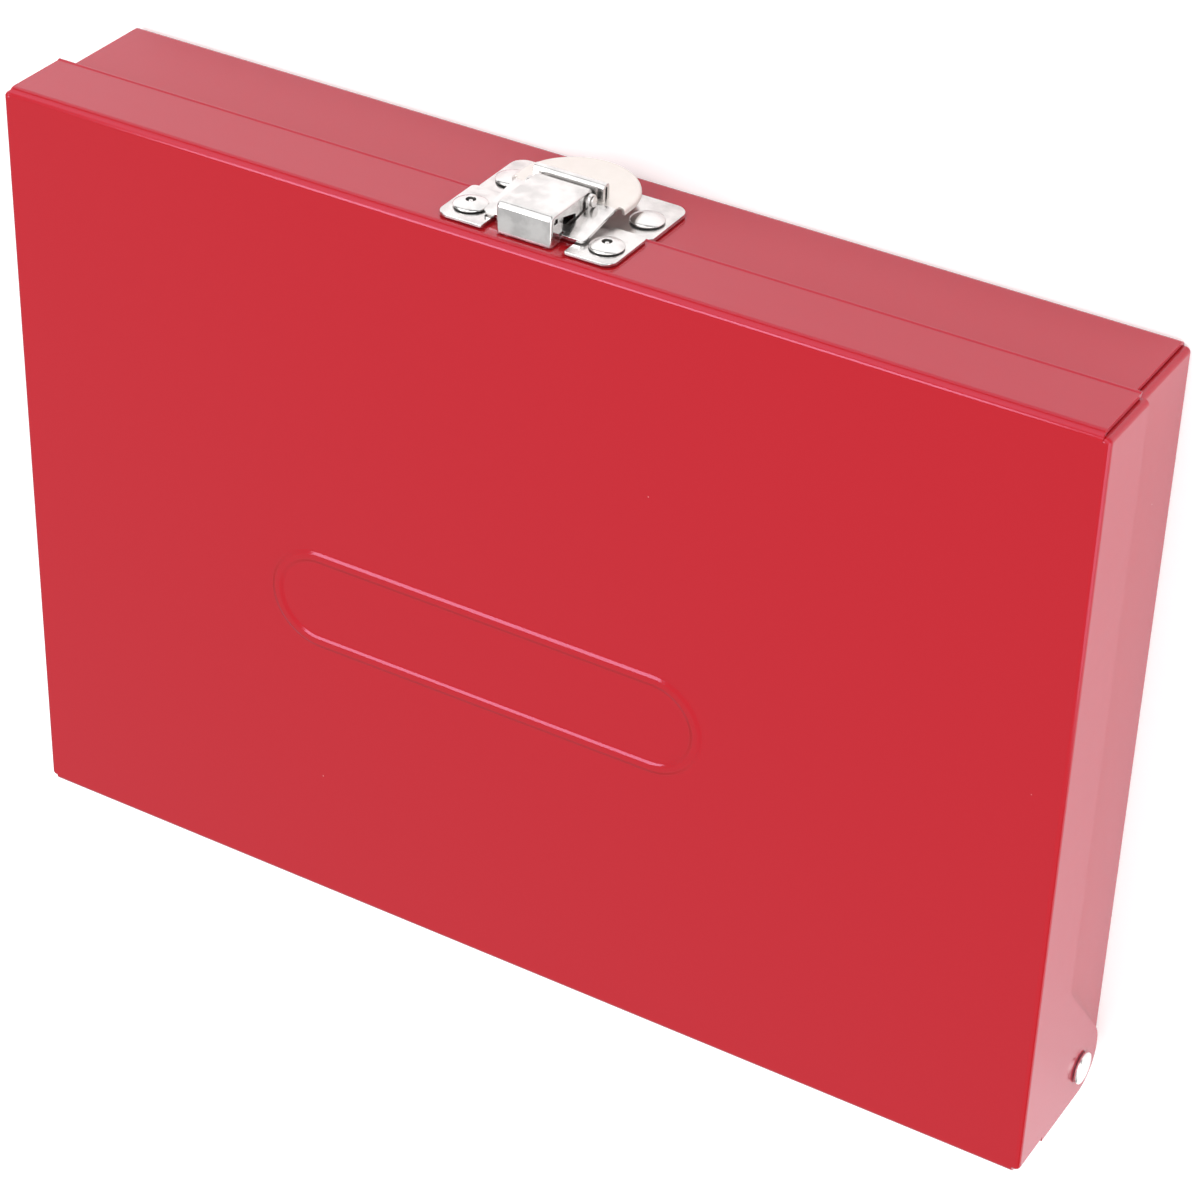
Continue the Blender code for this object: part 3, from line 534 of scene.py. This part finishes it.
def ringed_top(points, height):
    """Grid from the ring's middle line out to the panel's edge, raised by the ring's profile."""
    points = np.vstack((points, points[:1]))
    middle = np.column_stack((np.clip(points[:, 0], RING_X - RING_REACH, RING_X + RING_REACH),
                              np.full(len(points), RING_Y)))
    ray = points - middle
    ray /= np.linalg.norm(ray, axis=1)[:, None]
    inner = RING_OUTER - RING_WIDTH
    radius = np.concatenate(([0, inner * 0.6, inner - RING_MARGIN],
                             inner + RING_WIDTH * np.linspace(0, 1, RING_ROWS),
                             [RING_OUTER + RING_MARGIN, RING_OUTER + RING_APRON]))
    t = (radius - inner) / RING_WIDTH
    rise = RING_RISE * smooth_step(t / RING_SLOPE) * smooth_step((1 - t) / RING_SLOPE)
    flat = middle[None] + ray[None] * radius[:, None, None]
    return with_height(np.concatenate((flat, points[None])), height + np.append(rise, 0))


# %% Ear outline and the folded lid
pivot_y = lid_high[1] - 9.6 * MM
ear_front, ear_rear = pivot_y - 29.6 * MM, pivot_y + 8.4 * MM
ear_foot = lid_low[2]
EAR_TURN, EAR_HEEL, EAR_BLEND = 8.4 * MM, 9.0 * MM, 6.0 * MM  # radii: behind, below, in front
HEEL_AHEAD = 3.8 * MM  # from the pivot to the foot's front corner
EAR_RUN_OUT = 4 * MM  # straight stretch of the seam that ends the curve
WALL_STEP = 0.3 * MM  # drop from the hinge wall's edge to the ear
RELIEF_X, RELIEF_TOP = 127.8 * MM, 31.8 * MM  # where the front tabs clear the tray's own tabs


def lid_end_outline(front, back):
    """(y, z) points round the end panel's lower edge, from the hinge side to the latch side."""
    ear = rounded([
        (ear_rear, hinge_wall_low - WALL_STEP, 0),
        (ear_rear, ear_foot, EAR_TURN),
        (pivot_y - HEEL_AHEAD, ear_foot, EAR_HEEL),
        (ear_front, seam, EAR_BLEND),
        (ear_front - EAR_RUN_OUT, seam, 0),
    ], steps=12, closed=False)
    start = [(back, hinge_wall_low), (back, hinge_wall_low - WALL_STEP)]
    return np.concatenate((start, ear, [(front, seam), (front, RELIEF_TOP)]))


grids, flats, rim = pan_skin(
    lid_high[0], lid_low[1], lid_high[1], lid_top, -1, seam, hinge_wall_low,
    {"front": seam, "back": hinge_wall_low, "points": lid_end_outline},
    (RING_X, RING_Y), RING_REACH, relief=(RELIEF_X, RELIEF_TOP), roll=ROLL)
lid = welded("lid", grids + [ringed_top(rim, lid_top)], flats)
thicken(lid, SHEET, PAN_EDGE, 3)
dress(lid, enamel, "lid", "red_enamel", "lid_shell")

# %% [markdown]
# ## The tray
#
# The tray is the same fold turned over, smaller on all four sides so that the lid drops over it.
# Its hinge wall stands higher than the rest, inside the lid's own.

# %% Folded tray
TRAY_X = 130.3 * MM  # half of the tray's length, inside the lid's ends
TRAY_TOP = 31.5 * MM
TRAY_SPINE = 40 * MM  # half of the middle line that the rays start from


def tray_end_outline(front, back):
    """(y, z) points of the end panel's straight upper edge."""
    return np.array([(back, TRAY_TOP), (front, TRAY_TOP)])


grids, flats, rim = pan_skin(
    TRAY_X, tray_low[1], tray_high[1], 0.0, 1, TRAY_TOP, tray_high[2],
    {"front": TRAY_TOP, "back": TRAY_TOP, "points": tray_end_outline},
    (0.0, 0.0), TRAY_SPINE)
floor_face = np.column_stack((rim, np.zeros(len(rim))))
tray = welded("tray", grids, flats + [floor_face])
thicken(tray, SHEET, PAN_EDGE, 3)
dress(tray, enamel, "tray", "red_enamel", "tray_shell")

# %% [markdown]
# ## Rivets
#
# A rivet is a profile turned about its axis. The profile is a list of (radius, distance) points,
# and the surface is that list carried round a circle, so a dome stays round from any side. The
# keeper's two are blind rivets: the pin that set them has broken off inside and leaves a stub in
# a small well, whose shade is painted in as a very dark metal.

# %% Profile turned about an axis
def turned(name, profile, centre, along, across, steps=48):
    """Closed grid: centre + along x distance + radius x (across cos a + third axis sin a)."""
    along, across = np.array(along, float), np.array(across, float)
    third = np.cross(along, across)
    angle = np.linspace(0, 2 * math.pi, steps + 1)
    around = across * np.cos(angle)[:, None] + third * np.sin(angle)[:, None]
    radius, distance = np.array(profile).T
    points = centre + along * distance[:, None, None] + around[None] * radius[:, None, None]
    return welded(name, [points])


def dome(radius, rise, start, steps=8):
    """(radius, height) points of a shallow ball cap: height falls with the square root's circle."""
    ball = (radius ** 2 + rise ** 2) / (2 * rise)
    reach = np.linspace(start, radius, steps + 1)
    return np.column_stack((reach, rise - ball + np.sqrt(ball ** 2 - reach ** 2)))


HEAD_RADIUS, RIM_HEIGHT, DOME_RISE = 3.7 * MM, 0.4 * MM, 1.0 * MM
RIM_BULGE = 0.1 * MM  # the rim stands out round the dome
WELL, WELL_DEPTH, WELL_LIP = 1.1 * MM, 1.1 * MM, 0.06 * MM
STUB, STUB_DROP = 0.6 * MM, 0.22 * MM  # radius of the broken pin, and how far down it ends
SHANK, BULB = 2.0 * MM, 2.8 * MM  # radii of the shank and of its spread end
BULB_LENGTH, TAIL_LENGTH = 1.5 * MM, 3.0 * MM


def rivet_profile(seat, well, tail):
    """Head, shank and tail from the middle of the head round to the middle of the tail."""
    cap = dome(HEAD_RADIUS, DOME_RISE, well)
    cap[:, 1] += seat + RIM_HEIGHT
    top = cap[0, 1]
    middle = [(0, top)]
    if well:
        middle = [(0, top - STUB_DROP), (STUB * 0.6, top - 0.26 * MM), (STUB, top - 0.5 * MM),
                  (STUB, top - WELL_DEPTH), (well, top - WELL_DEPTH), (well, top - 2 * WELL_LIP),
                  (well + WELL_LIP, top - WELL_LIP / 2)]
        cap = cap[1:]
    rim = HEAD_RADIUS + RIM_BULGE
    edge = [(rim, seat + RIM_HEIGHT * 0.6), (rim, seat + RIM_BULGE), (HEAD_RADIUS, seat)]
    shank = [(SHANK, seat), (SHANK, tail), (BULB, tail), (BULB, tail - BULB_LENGTH),
             (SHANK, tail - TAIL_LENGTH), (0, tail - TAIL_LENGTH)]
    return np.concatenate((middle, cap, edge, shank))


# %% Rivets of the latch
def darken_well(piece, centre, seat, head):
    """Paints shade into the well: the ring round the stub and the well's wall and floor get a very
    dark metal.
    """
    piece.data.materials.append(well_shade_paint)
    for face in piece.data.polygons:
        reach = math.hypot(face.center.x - centre[0], face.center.z - centre[2])
        out = lid_front - face.center.y
        ring = STUB - 0.05 * MM < reach < WELL * 0.999
        face.material_index = int(ring and seat - 0.2 * MM < out < head - 0.16 * MM)


for word in ("left", "right"):
    for kind, body, well in (("keeper_rivet_", "lid", WELL), ("base_rivet_", "tray", 0)):
        low, high = span(kind + word)
        centre = np.array(((low[0] + high[0]) / 2, lid_front, (low[2] + high[2]) / 2))
        head = lid_front - low[1]
        seat = head - RIM_HEIGHT - DOME_RISE
        profile = rivet_profile(seat, well, lid_front - high[1] + TAIL_LENGTH)
        piece = turned(kind + word + "_turned", profile, centre, (0, -1, 0), (1, 0, 0))
        soften(piece, 0.06 * MM, angle=50)
        dress(piece, nickel, body, "nickel_plate", kind + word)
        # The blind rivet's well is darkened with painted shade.
        if well:
            darken_well(piece, centre, seat, head)

# %% Rivets of the hinge
HINGE_HEAD, HINGE_HEAD_DEPTH = 3.8 * MM, 1.0 * MM
HINGE_SHANK, HINGE_BULB, HINGE_TAIL = 1.8 * MM, 2.3 * MM, 1.4 * MM
for side, word in ((-1, "left"), (1, "right")):
    low, high = span("hinge_rivet_" + word)
    outer, inner = (high[0], low[0]) if side > 0 else (-low[0], -high[0])
    middle = (low + high) / 2
    seat = outer - HINGE_HEAD_DEPTH
    profile = [(0, outer), (HINGE_HEAD - 0.35 * MM, outer),
               (HINGE_HEAD - 0.1 * MM, outer - 0.1 * MM), (HINGE_HEAD, outer - 0.35 * MM),
               (HINGE_HEAD, seat), (HINGE_SHANK, seat),
               (HINGE_SHANK, inner + HINGE_TAIL), (HINGE_BULB, inner + HINGE_TAIL),
               (HINGE_BULB, inner + 0.25 * MM), (HINGE_BULB - 0.25 * MM, inner), (0, inner)]
    centre = np.array((0, middle[1], middle[2]))
    piece = turned("hinge_rivet_" + word + "_turned", profile, centre, (side, 0, 0), (0, 1, 0))
    soften(piece, 0.08 * MM, angle=50)
    dress(piece, rivet_metal, "tray", "rivet_metal", "hinge_rivet_" + word)

# %% [markdown]
# ## Keeper plate
#
# The keeper is a stamped plate on the lid. A tab in its notch is bent up square: that is the
# catch that the hook holds.

# %% Plate and catch
PLATE, PLATE_PLAY = 0.8 * MM, 0.3 * MM  # thickness, and play above the lid's wall
PLATE_EDGE = 0.16 * MM  # rounding of a plate's cut edges
SEAM_ROUND, FREE_ROUND = 1.2 * MM, 2.6 * MM  # corner radii beside the seam and away from it
NOTCH_HALF, NOTCH_LOW, NOTCH_ROUND = 9.9 * MM, 36.6 * MM, 0.4 * MM
CATCH_HALF, CATCH_FRONT, CATCH_BEND = 4.1 * MM, 39.35 * MM, 0.6 * MM
plate_x = keeper_high[0]
half = rounded([
    (0, keeper_low[2], 0),
    (plate_x, keeper_low[2], SEAM_ROUND),
    (plate_x, keeper_high[2], FREE_ROUND),
    (NOTCH_HALF, keeper_high[2], NOTCH_ROUND),
    (NOTCH_HALF, NOTCH_LOW, NOTCH_ROUND),
    (0, NOTCH_LOW, 0),
])[1:-1]
keeper = flat_plate("keeper", both_sides(half), PLATE_PLAY, PLATE_PLAY + PLATE)
middle_out, middle_up = PLATE_PLAY + PLATE / 2, CATCH_FRONT - PLATE / 2
catch_path = rounded([(NOTCH_LOW - PLATE, middle_out, 0), (middle_up, middle_out, CATCH_BEND),
                      (middle_up, lid_front - keeper_low[1], 0)], closed=False)
catch = cross_bar("catch", strip(catch_path, PLATE), -CATCH_HALF, CATCH_HALF)
keeper = joined("keeper", [keeper, catch])
soften(keeper, PLATE_EDGE, 3)
dress(keeper, nickel, "lid", "nickel_plate", "keeper_plate")

# %% [markdown]
# ## Base plate and its tongue
#
# The base plate lies on the tray. A strip cut free in its middle climbs over the keeper and curls
# round the lever's pin. The curl is an arc about the pin, met by a straight that just touches it.

# %% Plate, tongue and knuckle
BASE, BASE_OUT = 1.0 * MM, -1.2 * MM  # thickness, and its underside against the lid's wall
BASE_TOP, BASE_ROUND = 26.0 * MM, 3.2 * MM
SLOT_HALF, SLOT_LOW = 4.0 * MM, 21.8 * MM  # the opening that the tongue is cut from
TONGUE_HALF, TONGUE_BEND = 3.5 * MM, 1.0 * MM
TONGUE_ROOT, TONGUE_FOOT = 20.8 * MM, np.array((24.8 * MM, 2.0 * MM))
LEVER_PIN = np.array((36.4 * MM, 4.6 * MM))  # (height, out) of the lever's pin
KNUCKLE, KNUCKLE_TURN = 1.95 * MM, math.radians(285)
half = rounded([
    (0, base_low[2], 0),
    (plate_x, base_low[2], BASE_ROUND),
    (plate_x, BASE_TOP, SEAM_ROUND),
    (SLOT_HALF, BASE_TOP, 0),
    (SLOT_HALF, SLOT_LOW, 0),
    (0, SLOT_LOW, 0),
])[1:-1]
base = flat_plate("base", both_sides(half), BASE_OUT, BASE_OUT + BASE)
curl = KNUCKLE - BASE / 2
aim = LEVER_PIN - TONGUE_FOOT
heading = math.atan2(aim[1], aim[0]) - math.asin(curl / np.linalg.norm(aim))
first = heading - math.pi / 2
wrap = arc(LEVER_PIN, curl, first, first + KNUCKLE_TURN, 32)
level_out = BASE_OUT + BASE / 2
start = rounded([(TONGUE_ROOT, level_out, 0), (SLOT_LOW, level_out, TONGUE_BEND),
                 (*TONGUE_FOOT, TONGUE_BEND), (*wrap[0], 0)], closed=False)[:-1]
tongue = cross_bar("tongue", strip(np.concatenate((start, wrap)), BASE), -TONGUE_HALF, TONGUE_HALF)
base = joined("base", [base, tongue])
soften(base, PLATE_EDGE, 3)
dress(base, nickel, "tray", "nickel_plate", "latch_base_plate")

# %% [markdown]
# ## Thumb lever
#
# The lever is one stamping: a half-round tab whose edge is curled down, a ridge to push on, two
# arms that run up beside the hook and slope down at their tips, and four ears for the pins. The
# tab's skin is its outline with a profile carried along it: in from the edge by the curl's radius
# the sheet is flat, then a quarter round takes it down into a short wall.

# %% Tab with its curled edge, and the arms
LEVER, CURL = 0.8 * MM, 1.0 * MM  # thickness, and radius of the tab's curled edge
PRESSED_EDGE = 0.12 * MM  # rounding of the edges of lever and hook
TAB_TOP, TAB_RIM = 4.1 * MM, 2.4 * MM  # how far out the tab and its curled edge stand
TAB_CENTRE, TAB_FRONT = 21.0 * MM, 24.2 * MM  # heights of its half circle's centre and its end
ARM_IN, ARM_OUT = 6.95 * MM, 12.2 * MM
KINK, KINK_SOFT = 25.9 * MM, 0.5 * MM  # where the arms start to slope, and half of that curve
TIP_TOP, TIP_ROUND = 2.15 * MM, 1.0 * MM
LUG_IN, LUG_LOW, LUG_HIGH = 4.8 * MM, 34.6 * MM, 36.9 * MM  # lugs that carry the inner ears
WEB_HIGH = 23.0 * MM  # the tab's face between the arms ends here, under the ridge
tab_radius, arm_tip = lever_high[0], lever_high[2]
level_z = KINK - KINK_SOFT
slope = (TIP_TOP - TAB_TOP) / (arm_tip - KINK)

turn = np.linspace(0, -math.pi, 49)
edge_dir = np.column_stack((np.cos(turn), np.sin(turn)))
edge = edge_dir * tab_radius + (0, TAB_CENTRE)
edge = np.vstack(([(tab_radius, TAB_FRONT)], edge, [(-tab_radius, TAB_FRONT)]))
edge_dir = np.vstack((edge_dir[:1], edge_dir, edge_dir[-1:]))
angle = np.linspace(0, math.pi / 2, 9)
inset = CURL * (1 - np.sin(angle))
fall = TAB_TOP - CURL * (1 - np.cos(angle))
inset, fall = np.append(inset, 0), np.append(fall, TAB_RIM)
curled = edge[None] - edge_dir[None] * inset[:, None, None]
rim_grid = on_latch_face(curled[..., 0], curled[..., 1], fall[:, None])


def arm_rows(x, z):
    """Top of an arm: level up to the kink, then falling by the slope; a short curve joins them."""
    past = np.clip(z - KINK, -KINK_SOFT, None)
    fallen = np.where(past < KINK_SOFT, (past + KINK_SOFT) ** 2 / (4 * KINK_SOFT), past) * slope
    return on_latch_face(x, z, TAB_TOP + fallen)


kink_z = np.append(np.linspace(level_z, KINK + KINK_SOFT, 6), LUG_LOW)
lever_grids, lever_flats = [rim_grid], []
for side in (-1, 1):
    x = np.array((ARM_IN, ARM_OUT)) * side
    lever_grids.append(arm_rows(x[None, :], kink_z[:, None]))
    tip = rounded([(ARM_OUT, LUG_LOW, 0), (ARM_OUT, arm_tip, TIP_ROUND), (ARM_IN, arm_tip, 0),
                   (ARM_IN, LUG_HIGH, 0), (LUG_IN, LUG_HIGH, 0), (LUG_IN, LUG_LOW, 0),
                   (ARM_IN, LUG_LOW, 0)])
    lever_flats.append(arm_rows(tip[:, 0] * side, tip[:, 1]))
shoulder = [(-ARM_OUT, TAB_FRONT), (-ARM_OUT, level_z), (-ARM_IN, level_z), (-ARM_IN, WEB_HIGH),
            (ARM_IN, WEB_HIGH), (ARM_IN, level_z), (ARM_OUT, level_z), (ARM_OUT, TAB_FRONT)]
tab_face = np.vstack((curled[0], shoulder))
lever_flats.append(on_latch_face(tab_face[:, 0], tab_face[:, 1], TAB_TOP))
lever = welded("lever", lever_grids, lever_flats)
print("lever skin", len(lever.data.vertices), "points")

# %% [markdown]
# The ridge is a strip bent into an upside-down U with open ends, and each ear is a small plate
# that stands up from an arm and is rounded about its pin. They are closed bodies whose feet end
# inside the sheet of the skin, so that no gap shows.

# %% Ridge and pin ears
RIDGE_LOW, RIDGE_HIGH, RIDGE_OUT = 22.0 * MM, 24.4 * MM, 7.9 * MM
RIDGE_HALF, RIDGE_BEND = 8.6 * MM, 0.75 * MM
EAR_SINK = 3.6 * MM  # bodies that stand on the tab start here, inside its sheet
KNUCKLE_EAR_IN, KNUCKLE_EAR_ROOT = 4.4 * MM, 1.9 * MM
KNUCKLE_EAR, HOOK_EAR = 1.7 * MM, 1.6 * MM  # radii about the pins
HOOK_PIN = np.array((27.2 * MM, 5.2 * MM))  # (height, out) of the hook's pin
near, far = RIDGE_LOW + LEVER / 2, RIDGE_HIGH - LEVER / 2
crest = RIDGE_OUT - LEVER / 2
ridge_path = rounded([(near, EAR_SINK, 0), (near, crest, RIDGE_BEND), (far, crest, RIDGE_BEND),
                      (far, EAR_SINK, 0)], steps=8, closed=False)
ridge = cross_bar("ridge", strip(ridge_path, LEVER), -RIDGE_HALF, RIDGE_HALF)


def ear_plate(side, inner, pin, radius, root):
    """Upright plate: straight sides rise from its root, then a half circle goes round the pin."""
    top = arc(pin, radius, 0, math.pi, 20)
    view = np.concatenate((top, [(pin[0] - radius, root), (pin[0] + radius, root)]))
    return cross_bar("ear", view, side * inner, side * (inner + LEVER))


ears = [ear_plate(side, *ear) for side in (-1, 1) for ear in (
    (KNUCKLE_EAR_IN, LEVER_PIN, KNUCKLE_EAR, KNUCKLE_EAR_ROOT),
    (ARM_IN, HOOK_PIN, HOOK_EAR, EAR_SINK))]
extras = joined("lever_ridge_and_ears", [ridge] + ears)
soften(extras, PRESSED_EDGE, 3)
dress(extras, nickel, "latch_lever", "nickel_plate")
thicken(lever, LEVER, PRESSED_EDGE, 3)
dress(lever, satin, "latch_lever", "nickel_plate", "latch_lever")
lever.data.materials.append(nickel)
for face in lever.data.polygons:
    face.material_index = int(face.center.z > level_z)

# %% [markdown]
# ## Hook
#
# The hook is a small box open underneath. Its back curls round its own pin, its front turns down
# on a wide bend, and both long edges are folded into side cheeks. One path, the side view of its
# top, is carried across with a profile: flat in the middle, and a quarter round at each side,
# square to the path. The cheeks are flat outlines with the notches that the press leaves.

# %% Hook skin
HOOK = 0.7 * MM  # thickness of its sheet
FRONT_BEND, SIDE_BEND, REAR_CURL = 1.5 * MM, 0.75 * MM, 2.4 * MM
FRONT_STEPS, REAR_STEPS, SIDE_STEPS = 10, 16, 6
WALL_LOW, CHEEK_LOW = 0.35 * MM, 3.4 * MM  # how far out the front wall and the curl end
CHEEK_FRONT = 38.3 * MM  # where the cheek's lower edge starts at the front
LIP_HALF, LIP_LOW, LIP_HIGH = 4.4 * MM, 38.4 * MM, 41.4 * MM
hook_x = hook_high[0]
hook_top = lid_front - hook_low[1]
rear_z, front_z = hook_low[2], hook_high[2]
path = np.concatenate((
    [(rear_z, CHEEK_LOW)],
    arc((rear_z + REAR_CURL, hook_top - REAR_CURL), REAR_CURL, math.pi, math.pi / 2, REAR_STEPS),
    arc((front_z - FRONT_BEND, hook_top - FRONT_BEND), FRONT_BEND, math.pi / 2, 0, FRONT_STEPS),
    [(front_z, WALL_LOW)]))
facing = np.concatenate(([math.pi], np.linspace(math.pi, math.pi / 2, REAR_STEPS + 1),
                         np.linspace(math.pi / 2, 0, FRONT_STEPS + 1), [0]))
square = np.column_stack((np.cos(facing), np.sin(facing)))
angle = np.linspace(0, math.pi / 2, SIDE_STEPS + 1)
flat_half = hook_x - SIDE_BEND
across = np.concatenate((-flat_half - SIDE_BEND * np.sin(angle[::-1]),
                         flat_half + SIDE_BEND * np.sin(angle)))
sink = SIDE_BEND * (1 - np.cos(np.concatenate((angle[::-1], angle))))
view = path[:, None] - square[:, None] * sink[None, :, None]
hook_grid = on_latch_face(across[None], view[..., 0], view[..., 1])
upper = view[:, -1]

# The cheek's lower edge from front to rear, as (height, out, corner radius) in millimetres.
NOTCHES = np.array([
    (37.3, 1.3, 0.4), (37.3, 3.0, 0.5), (38.8, 5.1, 0.4), (40.2, 5.1, 0.2), (40.7, 5.6, 0.2),
    (40.1, 6.35, 0.2), (32.0, 4.3, 0.4), (32.0, 2.7, 0.8), (26.8, 2.7, 0.5)]) * MM
lower = rounded([(CHEEK_FRONT, WALL_LOW, 0), *NOTCHES, (upper[0, 0], CHEEK_LOW, 0)],
                closed=False)[:-1]
cheek = np.concatenate((upper, lower))
cheeks = [on_latch_face(side * hook_x, cheek[:, 0], cheek[:, 1]) for side in (-1, 1)]
hook = welded("hook", [hook_grid], cheeks)
thicken(hook, HOOK, PRESSED_EDGE, 3)

# %% Lip that holds the catch
lip_out = WALL_LOW + HOOK
lip_view = np.array([(LIP_LOW, WALL_LOW), (LIP_HIGH, WALL_LOW),
                     (LIP_HIGH, lip_out), (LIP_LOW, lip_out)])
lip = cross_bar("hook_lip", lip_view, -LIP_HALF, LIP_HALF)
soften(lip, PRESSED_EDGE)
dress(lip, nickel, "latch_hook", "nickel_plate")
dress(hook, nickel, "latch_hook", "nickel_plate", "latch_hook")

# %% [markdown]
# ## Pins, spacers and washers
#
# These are plain turned pieces and mostly hidden, so the solids themselves are shown with the
# plated finish.

# %% Finish of the plain solids
for name in ("lever_pivot_pin", "hook_pivot_pin", "hinge_spacer_left", "hinge_spacer_right",
             "hinge_washer_left", "hinge_washer_right"):
    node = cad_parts[name]
    node.data.materials.clear()
    node.data.materials.append(nickel)

# %% [markdown]
# ## Floor, light and camera
#
# A product shot on white: a pale floor that still takes the box's shadow, a large soft lamp from
# the camera's side, two wide and weak ones that fill the end panel and the latch side, and a
# small one overhead. The small one stands where the lid's bend mirrors it to the camera, so it
# draws the bright line. It hangs high, because a bright lamp low in front would show as a white
# patch on the flat lid when the box is seen from behind. The room is light overhead and darker
# low down. The flat faces mirror the floor and the ceiling, while the bends sweep over the dark
# part, which draws the deep bands beside each bright line.

# %% Floor
FLOOR_HALF, FLOOR_DROP = 12.0, 0.2 * MM  # metres; just under the box, so the two don't touch
FLOOR_GLOW = 0.32  # takes the lit paper up to white where it is seen or mirrored


def combined(tree, operation, first, second):
    """Result of one Math node."""
    return add_node(tree, "ShaderNodeMath", [(0, first), (1, second)],
                    operation=operation).outputs[0]


floor_corners = np.array([(-1, -1, 0), (1, -1, 0), (1, 1, 0), (-1, 1, 0)]) * FLOOR_HALF
floor = welded("floor", [], [floor_corners])
paper, tree, shader = shader_material(
    "pale_paper", Base_Color=(0.82, 0.82, 0.82, 1), Roughness=1.0, Specular_IOR_Level=0.0,
    Emission_Color=(1, 1, 1, 1))
ray = add_node(tree, "ShaderNodeLightPath").outputs
seen = combined(tree, "MAXIMUM", ray["Is Camera Ray"], ray["Is Glossy Ray"])
seen = combined(tree, "MAXIMUM", seen, ray["Is Transmission Ray"])
tree.links.new(combined(tree, "MULTIPLY", seen, FLOOR_GLOW), shader.inputs["Emission Strength"])
floor.data.materials.append(paper)
floor.location.z = -FLOOR_DROP
floor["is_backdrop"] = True

# %% Room light: dark near the horizon, lighter overhead
ROOM_LOW, ROOM_HIGH = 0.12, 0.55  # Z of a direction where the change starts and ends
ROOM_DARK, ROOM_LIGHT = 0.18, 0.80
world = bpy.data.worlds.new("studio")
bpy.context.scene.world = world
world.use_nodes = True
tree = world.node_tree
direction = add_node(tree, "ShaderNodeTexCoord").outputs["Generated"]
parts = add_node(tree, "ShaderNodeSeparateXYZ", [(0, direction)])
level = ranged(tree, parts.outputs["Z"], ROOM_LOW, ROOM_HIGH, ROOM_DARK, ROOM_LIGHT)
tree.links.new(level, tree.nodes["Background"].inputs["Strength"])
tree.nodes["Background"].inputs["Color"].default_value = (1, 1, 1, 1)


# %% Lamps
def facing_matrix(side, up, away, place):
    """Matrix whose columns are an object's own axes and its place."""
    matrix = np.eye(4)
    matrix[:3] = np.column_stack((side, up, away, place))
    return Matrix(matrix.tolist())


def soft_lamp(name, place, target, width, height, power):
    """Rectangular lamp that faces its target."""
    lamp = bpy.data.lights.new(name, "AREA")
    lamp.shape = "RECTANGLE"
    lamp.size, lamp.size_y, lamp.energy = width, height, power
    holder = bpy.data.objects.new(name, lamp)
    bpy.context.scene.collection.objects.link(holder)
    away = np.array(place, float) - np.array(target, float)
    away /= np.linalg.norm(away)
    side = np.cross((0, 0, 1), away)
    side /= np.linalg.norm(side)
    holder.matrix_world = facing_matrix(side, np.cross(away, side), away, place)


LATCH_SIDE = (0, -0.09, 0.04)
for name, place, target, width, height, watts in (
        ("key", (-0.88, -0.85, 1.38), (0, 0, 0), 2.2, 2.2, 15),
        ("end_fill", (-1.2, 0.25, 0.5), (-0.15, 0.05, 0), 1.0, 1.0, 7.5),
        ("bend_line", (0.50, -0.15, 1.12), LATCH_SIDE, 0.4, 0.5, 3.6),
        ("front_fill", (0.42, -0.95, 0.72), LATCH_SIDE, 1.2, 1.2, 6)):
    soft_lamp(name, place, target, width, height, watts)
    print(name, "lamp,", watts, "W over", round(width * height, 2), "square metres")

# %% [markdown]
# ## Camera
#
# The camera was solved once, outside this script, from eight points measured in the photograph:
# the four corners of the lid's top, two of the lid's lower edge and two of the tray's underside.
# Its place, turn and focal length were fitted together with the box's depth and height, the
# depth of the lid and the tray's insets at the ends. The length of 265 mm, an axis through the
# picture's middle and the tray's inset at the latch were assumed. The fit misses each point by
# less than 4 of the picture's 1200 pixels. The picture's right and down directions give the
# camera's axes: its own Y is up and it looks along its own -Z.

# %% Camera at the photograph's place
EYE = (-0.33476, -0.44039, 0.58965)
right = np.array((-0.85773, -0.02841, -0.51331))
down = np.array((-0.30762, 0.82836, 0.46818))
lens = bpy.data.cameras.new("photo_camera")
lens.sensor_width = 36.0
lens.lens = 106.6
lens.clip_start = 0.01
camera = bpy.data.objects.new("photo_camera", lens)
camera.matrix_world = facing_matrix(right, -down, -np.cross(right, down), EYE)
bpy.context.scene.collection.objects.link(camera)
bpy.context.scene.camera = camera
bpy.context.scene.view_settings.view_transform = "Standard"

# %% Print the visual box and finish
low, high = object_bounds()
print("visual box in mm:", [round(v / MM, 2) for v in (*low, *high)])
